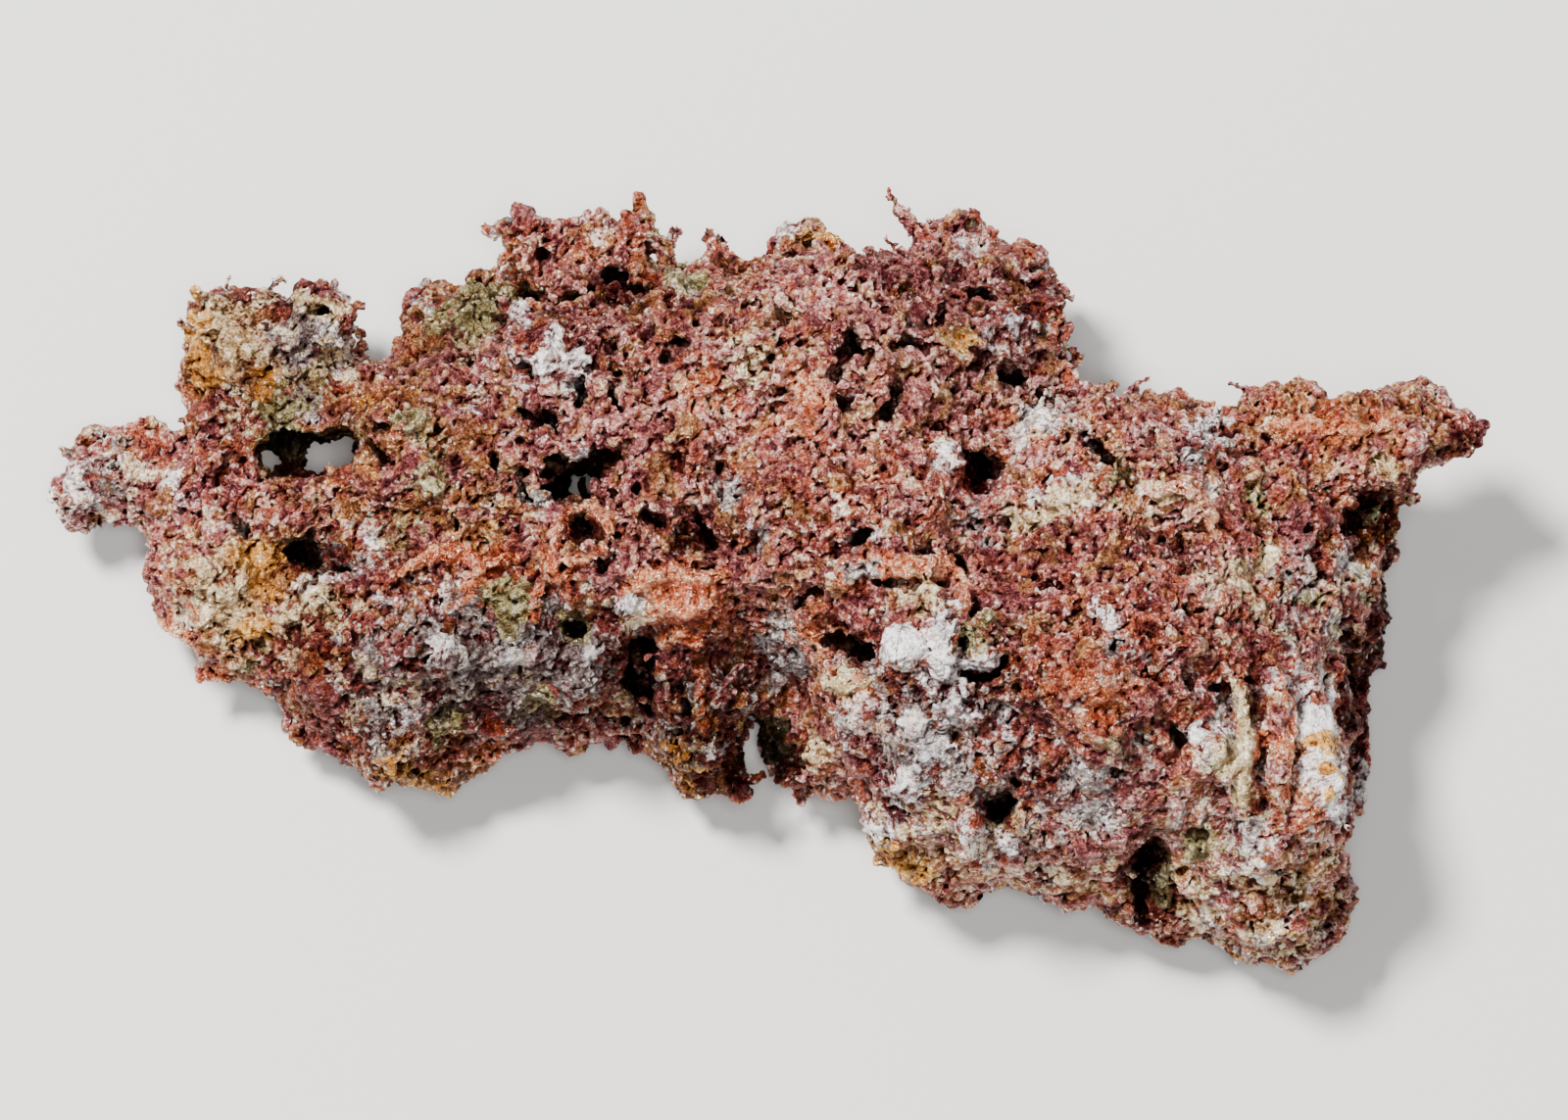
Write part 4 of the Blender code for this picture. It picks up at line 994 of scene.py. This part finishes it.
def paintTree(skinObject, ridgeObject):
    # crumbs that hang in the air are dropped, then each point learns what it is made of, how much sky
    # it loses and how deep it lies (both painted as shade), how near a strand it is and how it bulges
    tree = newTree("paint")
    spot = placeNodes(tree)[0]
    source = meshOf(tree, skinObject)
    links = {"Geometry": inputMesh(tree), "Selection": looseCrumbs(tree)}
    mesh = addNode(tree, "GeometryNodeDeleteGeometry", links, domain="POINT").outputs[0]
    for kind in [*patches, "shade"]:
        mesh = stored(tree, mesh, kind, sampled(tree, source, kind, spot))
    mesh = stored(tree, mesh, "deep", skinDepth(tree, source, spot))
    near = closest(tree, meshOf(tree, ridgeObject), spot)["Distance"]
    mesh = stored(tree, mesh, "wire", rise(tree, near, 0.34 * mm, 0.1 * mm))
    links = {"Value": spot, "Iterations": 3}
    blurred = addNode(tree, "GeometryNodeBlurAttribute", links, data_type="FLOAT_VECTOR").outputs[0]
    bulge = vectorMath(tree, "SUBTRACT", spot, blurred)
    ridge = vectorMath(tree, "DOT_PRODUCT", bulge, normalOf(tree), "Value")
    return finished(tree, stored(tree, mesh, "ridge", times(tree, ridge, 1 / mm)))


def growBody(skinObject, tree):
    ridges = [
        [(surfacePoint(tree, x, y) + sight * lift, radius) for x, y, lift, radius in chain]
        for chain in [*strands.values(), *ribs.values()]
    ]
    beds = [[(place - sight * 0.25, radius * 1.25) for place, radius in chain] for chain in ridges]
    coarse = joined([skinObject, beadObject("beds", beds), lumpObject(tree)], "coarse")
    evenedOut(coarse, relief["coarseVoxel"], 1)
    roughen(coarse, coarseTree(skinObject))
    cutter = gapCutter(tree, skinObject.data)
    cutBy(coarse, cutter, "DIFFERENCE")
    print("pores cut:", len(coarse.data.polygons), "faces")
    chains = wander(skinObject.data, twigs) + wander(skinObject.data, fringe) + ridges
    body = joined([coarse, beadObject("twigs", chains)], "body")
    evenedOut(body, relief["fineVoxel"], 1)
    roughen(body, fineTree(skinObject))
    ridgeObject = beadObject("ridges", ridges[: len(strands)])
    roughen(body, paintTree(skinObject, ridgeObject))
    for helper in (cutter, coarse, ridgeObject):
        bpy.data.objects.remove(helper)
    return body


# The boxes that cut the body into pieces, in mm: how far they reach along y and z, their middle
# height, and the (size, height) of the waves in their walls.
wall = {"depth": 60, "height": 40, "middle": 12, "cuts": 36, "wave": (2.2, 0.9), "overlap": 0.05}


def boxObject(xLow, xHigh):
    # walls a little crooked, so that no seam runs straight
    bm = bmesh.new()
    size = Matrix.Diagonal((xHigh - xLow, wall["depth"], wall["height"], 1))
    middle = Vector(((xLow + xHigh) / 2, 0, wall["middle"])) * mm
    bmesh.ops.create_cube(bm, size=mm, matrix=Matrix.Translation(middle) @ size)
    walls = [edge for edge in bm.edges if abs(edge.verts[0].co.x - edge.verts[1].co.x) < 1e-6]
    bmesh.ops.subdivide_edges(bm, edges=walls, cuts=wall["cuts"], use_grid_fill=True)
    waveSize, waveHeight = wall["wave"]
    for vertex in bm.verts:
        wave = noise.noise(Vector((0, vertex.co.y, vertex.co.z)) / mm / waveSize)
        vertex.co.x += wave * waveHeight * mm
    bmesh.ops.triangulate(bm, faces=bm.faces)
    return meshFrom(bm, "box")


# Colours from the darkest to the lightest crumb of each metal and stone: (place on the ramp, colour).
shades = {
    "copper": [
        (0.06, (0.012, 0.001, 0.0008)), (0.26, (0.1, 0.012, 0.007)), (0.45, (0.29, 0.055, 0.027)),
        (0.62, (0.46, 0.135, 0.075)), (0.76, (0.72, 0.33, 0.21)), (0.88, (1, 0.72, 0.54)),
    ],
    "plum": [
        (0.06, (0.014, 0.001, 0.002)), (0.28, (0.1, 0.016, 0.02)), (0.5, (0.29, 0.085, 0.08)),
        (0.7, (0.55, 0.25, 0.23)), (0.9, (0.9, 0.64, 0.6)),
    ],
    "fresh": [
        (0.08, (0.06, 0.006, 0.001)), (0.34, (0.34, 0.055, 0.018)), (0.58, (0.68, 0.19, 0.075)),
        (0.85, (1, 0.56, 0.34)),
    ],
    "earthy": [
        (0.08, (0.025, 0.006, 0.001)), (0.34, (0.18, 0.06, 0.014)), (0.6, (0.43, 0.215, 0.075)),
        (0.88, (0.88, 0.66, 0.36)),
    ],
    "white": [
        (0.08, (0.045, 0.02, 0.02)), (0.3, (0.2, 0.155, 0.155)), (0.53, (0.47, 0.435, 0.44)),
        (0.8, (1, 0.985, 0.99)),
    ],
    "pink": [
        (0.08, (0.08, 0.025, 0.02)), (0.35, (0.37, 0.19, 0.155)), (0.6, (0.74, 0.53, 0.47)),
        (0.85, (1, 0.92, 0.88)),
    ],
    "cream": [
        (0.08, (0.08, 0.03, 0.008)), (0.36, (0.36, 0.21, 0.085)), (0.6, (0.7, 0.52, 0.29)),
        (0.86, (1, 0.92, 0.68)),
    ],
    "grey": [
        (0.08, (0.025, 0.011, 0.01)), (0.34, (0.11, 0.078, 0.072)), (0.58, (0.3, 0.25, 0.24)),
        (0.88, (0.78, 0.74, 0.74)),
    ],
    "rust": [(0.12, (0.05, 0.012, 0.001)), (0.45, (0.4, 0.14, 0.018)), (0.85, (0.9, 0.5, 0.13))],
    "moss": [
        (0.1, (0.012, 0.008, 0.002)), (0.4, (0.12, 0.088, 0.03)), (0.63, (0.3, 0.245, 0.105)),
        (0.9, (0.65, 0.6, 0.38)),
    ],
}
finish = {
    # painted highlight colours of the glinting crumbs
    "paintedGlints": ((1, 0.86, 0.76, 1), (1, 0.74, 0.54, 1)),  # on dull and on fresh copper
    # painted shade colours for the hollows and seams, shallow and deep
    "hollows": ((0.03, 0.002, 0.001, 1), (0.004, 0.001, 0.001, 1)),  # shallow and deep
    "metallic": 0.45,
    "freshMetallic": 0.35,  # added where the copper is fresh
    "roughness": 0.47,
    "specular": 0.22,
    "bump": 0.2,
}


def ramp(tree, value, name):
    node = addNode(tree, "ShaderNodeValToRGB", {0: value})
    spots = node.color_ramp.elements
    while len(spots) < len(shades[name]):
        spots.new(0.5)
    for spot, (at, colour) in zip(spots, shades[name]):
        spot.position = at
        spot.color = (*colour, 1)
    return node.outputs[0]


def blend(tree, factor, first, second):
    links = {0: factor, 6: first, 7: second}
    return addNode(tree, "ShaderNodeMix", links, data_type="RGBA").outputs[2]


def patternNodes(tree):
    # the stored attributes and the noises, from whole clumps down to single crumbs
    place = scaled(tree, addNode(tree, "ShaderNodeTexCoord").outputs["Object"], 1 / mm)
    away = scaled(tree, place, -1)
    found = {
        "crumb": cells(tree, warped(tree, place, 0.45, 0.18, 3), 0.3).outputs,
        "spark": cells(tree, warped(tree, place, 0.2, 0.06), 0.26).outputs,
        "broad": cloud(tree, place, 4.5, 2),
        "middle": cloud(tree, place, 1.3, 4, 0.65),
        "fine": cloud(tree, place, 0.4, 4, 0.7),
        "grit": cloud(tree, away, 0.13, 2, 0.6),
        "tint": cloud(tree, away, 1.1, 4, 0.6),
        "stain": cloud(tree, scaled(tree, place, 1.37), 2.3, 4, 0.62),
    }
    found["crumbs"] = split(tree, found["crumb"]["Color"])
    found["sparks"] = split(tree, found["spark"]["Color"])
    clump = cells(tree, warped(tree, place, 1, 0.6, 3), 1.3)
    found["clumps"] = split(tree, clump.outputs["Color"])
    stone = cells(tree, warped(tree, place, 1.2, 0.7, 3), 1.7)
    found["stones"] = split(tree, stone.outputs["Color"])
    for kind in [*patches, "shade", "deep", "ridge", "wire"]:
        found[kind] = addNode(tree, "ShaderNodeAttribute", attribute_name=kind).outputs["Fac"]
    return found


def copperColour(tree, at):
    # tarnished copper, plum and earthy in places, and fresh on its edges; crests are painted lighter as
    # highlights, and the patches of painted shadow darker
    tone = weighted(
        tree, (at["crumbs"][0], 0.2), (at["middle"], 0.65), (at["fine"], 1), (at["grit"], 0.8),
        (at["clumps"][0], 0.2), (at["broad"], 0.4), (at["pale"], 0.26), (at["ridge"], 1.6),
        (at["dark"], -0.4), (at["wire"], 0.18), -1.21,
    )
    plum = weighted(tree, (at["tint"], 1), (at["plum"], 0.3), (at["clumps"][1], 0.1))
    plum = rise(tree, plum, 0.42, 0.64)
    colour = blend(tree, plum, ramp(tree, tone, "copper"), ramp(tree, tone, "plum"))
    tan = weighted(tree, (at["stain"], 1), (at["ochre"], 0.35), (at["clumps"][2], 0.1))
    tan = times(tree, rise(tree, tan, 0.54, 0.7), 0.8)
    colour = blend(tree, tan, colour, ramp(tree, tone, "earthy"))
    fresh = weighted(
        tree, (at["crumbs"][1], 0.3), (at["orange"], 0.75), (at["wire"], 0.6), (at["broad"], 0.9),
        (at["middle"], 0.7), (at["tint"], -0.6), -0.62,
    )
    fresh = rise(tree, fresh, 0.15, 0.75)
    return blend(tree, times(tree, fresh, 0.85), colour, ramp(tree, tone, "fresh")), fresh


def stoneColours(tree, at):
    # crests are painted lighter as highlights, and the patches of painted shadow darker
    tone = weighted(
        tree, (at["crumbs"][2], 0.2), (at["fine"], 0.85), (at["grit"], 0.75), (at["middle"], 0.9),
        (at["tint"], 0.5), (at["clumps"][0], 0.16), (at["ridge"], 1.5), (at["dark"], -0.4), -1.14,
    )
    pure = weighted(tree, (tone, 1), (at["quartz"], 0.42), -0.18)
    rosy = rise(tree, at["stain"], 0.48, 0.66)
    return {
        "grey": ramp(tree, tone, "grey"),
        "quartz": blend(tree, rosy, ramp(tree, pure, "white"), ramp(tree, pure, "pink")),
        "cream": ramp(tree, tone, "cream"),
        "olive": ramp(tree, tone, "moss"),
        "ochre": ramp(tree, tone, "rust"),
    }


# How each stone takes over, in this order: the crumb and the clump odds it goes by, and the levels
# between which it fades in.
takeOver = {
    "grey": (("crumbs", 0), ("clumps", 2), 0.32, 0.6),
    "quartz": (("crumbs", 1), ("clumps", 1), 0.34, 0.6),
    "cream": (("crumbs", 0), ("stones", 0), 0.34, 0.62),
    "olive": (("crumbs", 2), ("stones", 1), 0.34, 0.6),
    "ochre": (("crumbs", 1), ("stones", 2), 0.38, 0.64),
}


def stoneShare(tree, at, kind):
    # whole clumps and single crumbs turn to this stone, the more so where its patches lie
    (crumbs, crumb), (clumps, clump), low, high = takeOver[kind]
    share = weighted(
        tree, (at[kind], 1), (at[crumbs][crumb], 0.24), (at[clumps][clump], 0.46),
        (at["middle"], 1.3), (at["fine"], 0.9), -1.46,
    )
    return rise(tree, share, low, high)


def paintedGlintAmount(tree, at):
    # painted glints: a few crumbs take a pale highlight colour
    level = weighted(
        tree, (at["sparks"][0], 1), (at["middle"], 1.2), (at["broad"], 0.6), (at["pale"], 0.1), -0.9
    )
    near = rise(tree, at["spark"]["Distance"], 0.6, 0.3)
    return times(tree, rise(tree, level, 0.86, 0.94), near)


def paintedShadeAmount(tree, at, quartz):
    # painted shade: darker with depth below the skin, where the sky is hidden close by, on the patches
    # of painted shadow and in the creases and seams between crumbs, fainter in quartz
    paintedShade = rise(tree, at["deep"], 0.35, 1.5)
    paintedShade = larger(tree, paintedShade, rise(tree, at["shade"], 0.45, 0.88))
    paintedShade = larger(tree, paintedShade, times(tree, at["dark"], 0.9))
    edges = times(tree, rise(tree, at["crumb"]["Distance"], 0.55, 0.9), 0.4)
    creaseShade = larger(tree, rise(tree, at["ridge"], -0.03, -0.16), edges)
    creaseShade = times(tree, creaseShade, calc(tree, "MULTIPLY_ADD", quartz, -0.65, 1))
    return larger(tree, paintedShade, creaseShade)


def grainNormal(tree, at):
    # every crumb has its own facet, and a rough skin over that
    facet = vectorMath(tree, "SUBTRACT", at["crumb"]["Color"], (0.5, 0.5, 0.5))
    facing = addNode(tree, "ShaderNodeNewGeometry").outputs["Normal"]
    facet = vectorMath(tree, "NORMALIZE", vectorMath(tree, "ADD", facing, facet))
    height = weighted(
        tree, (at["crumb"]["Distance"], -0.6), (at["fine"], 1.6), (at["middle"], 1.2), (at["grit"], 0.8)
    )
    links = {"Strength": 1.0, "Distance": finish["bump"] * mm, "Height": height, "Normal": facet}
    return addNode(tree, "ShaderNodeBump", links).outputs[0]


def nuggetMaterial():
    material = bpy.data.materials.new("native_copper_and_quartz")
    material.use_nodes = True
    tree = material.node_tree
    shader = tree.nodes["Principled BSDF"]
    at = patternNodes(tree)
    colour, fresh = copperColour(tree, at)
    stones = stoneColours(tree, at)
    shares = {kind: stoneShare(tree, at, kind) for kind in takeOver}
    for kind, share in shares.items():
        colour = blend(tree, share, colour, stones[kind])
    # painted glints: a few crumbs blend towards a pale highlight colour
    paintedGlint = paintedGlintAmount(tree, at)
    paintedGlintColour = blend(tree, fresh, *finish["paintedGlints"])
    colour = blend(tree, times(tree, paintedGlint, 0.75), colour, paintedGlintColour)
    # painted shade: hollows, hidden places, the patches of painted shadow and the seams between crumbs
    # turn towards near black
    paintedShade = paintedShadeAmount(tree, at, shares["quartz"])
    hollow = blend(tree, rise(tree, paintedShade, 0.5, 1), *finish["hollows"])
    colour = blend(tree, times(tree, paintedShade, 0.96), colour, hollow)
    bare = calc(tree, "SUBTRACT", 1, shares["quartz"])
    metal = times(tree, bare, weighted(tree, (fresh, finish["freshMetallic"]), finish["metallic"]))
    gloss = weighted(tree, (at["crumbs"][2], -0.3), (paintedShade, 0.35), (paintedGlint, -0.2), finish["roughness"])
    tree.links.new(colour, shader.inputs["Base Color"])
    # the painted shade also raises metallic, so that it reflects only its own dark colour
    tree.links.new(weighted(tree, (metal, 1), (paintedShade, 0.8)), shader.inputs["Metallic"])
    tree.links.new(gloss, shader.inputs["Roughness"])
    tree.links.new(grainNormal(tree, at), shader.inputs["Normal"])
    shader.inputs["Specular IOR Level"].default_value = finish["specular"]
    return material


floor = {"size": 3, "colour": (0.6, 0.595, 0.58, 1), "roughness": 0.8}


def buildFloor():
    bm = bmesh.new()
    bmesh.ops.create_grid(bm, x_segments=1, y_segments=1, size=floor["size"])
    made = meshFrom(bm, "floor")
    material = bpy.data.materials.new("pale_floor")
    material.use_nodes = True
    shader = material.node_tree.nodes["Principled BSDF"]
    shader.inputs["Base Color"].default_value = floor["colour"]
    shader.inputs["Roughness"].default_value = floor["roughness"]
    made.data.materials.append(material)


studio = {
    "key": {"from": (-0.2, 0.12, 0.6), "size": 0.12, "watts": 12.4, "colour": (1, 0.98, 0.95)},
    "fill": {"from": (0.03, -0.15, 0.68), "size": 0.16, "watts": 3.4, "colour": (1, 1, 1)},
}
surroundings = {"colour": (1, 0.99, 0.97, 1), "strength": 0.32}


def buildLights():
    for name, lamp in studio.items():
        light = bpy.data.lights.new(name, "AREA")
        light.shape = "DISK"
        light.size = lamp["size"]
        light.energy = lamp["watts"]
        light.color = lamp["colour"]
        made = linked(name, light)
        made.location = lamp["from"]
        made.rotation_euler = (-Vector(lamp["from"])).to_track_quat("-Z", "Y").to_euler()
    world = bpy.data.worlds.new("studio")
    world.use_nodes = True
    background = world.node_tree.nodes["Background"]
    background.inputs[0].default_value = surroundings["colour"]
    background.inputs[1].default_value = surroundings["strength"]
    bpy.context.scene.world = world


buildCamera()
buildFloor()
buildLights()
print("camera, floor and lights are up")

skinObject = buildSkin()
skinTree = paintSkin(skinObject)
print("skin painted:", len(skinObject.data.vertices), "points")
body = growBody(skinObject, skinTree)
print("body grown:", len(body.data.polygons), "faces")
nugget = nuggetMaterial()
for name, (xLow, xHigh) in parts.items():
    box = boxObject(xLow - wall["overlap"], xHigh + wall["overlap"])
    made = cutBy(linked(name, body.data.copy()), box, "INTERSECT")
    bpy.data.objects.remove(box)
    mesh = made.data
    mesh.materials.clear()
    mesh.materials.append(nugget)
    mesh.shade_smooth()
    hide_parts("copper_nugget")
    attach(made, "root")
    print(name, "cut:", sum(len(p.vertices) - 2 for p in mesh.polygons), "triangles")
for helper in (skinObject, body):
    bpy.data.objects.remove(helper)
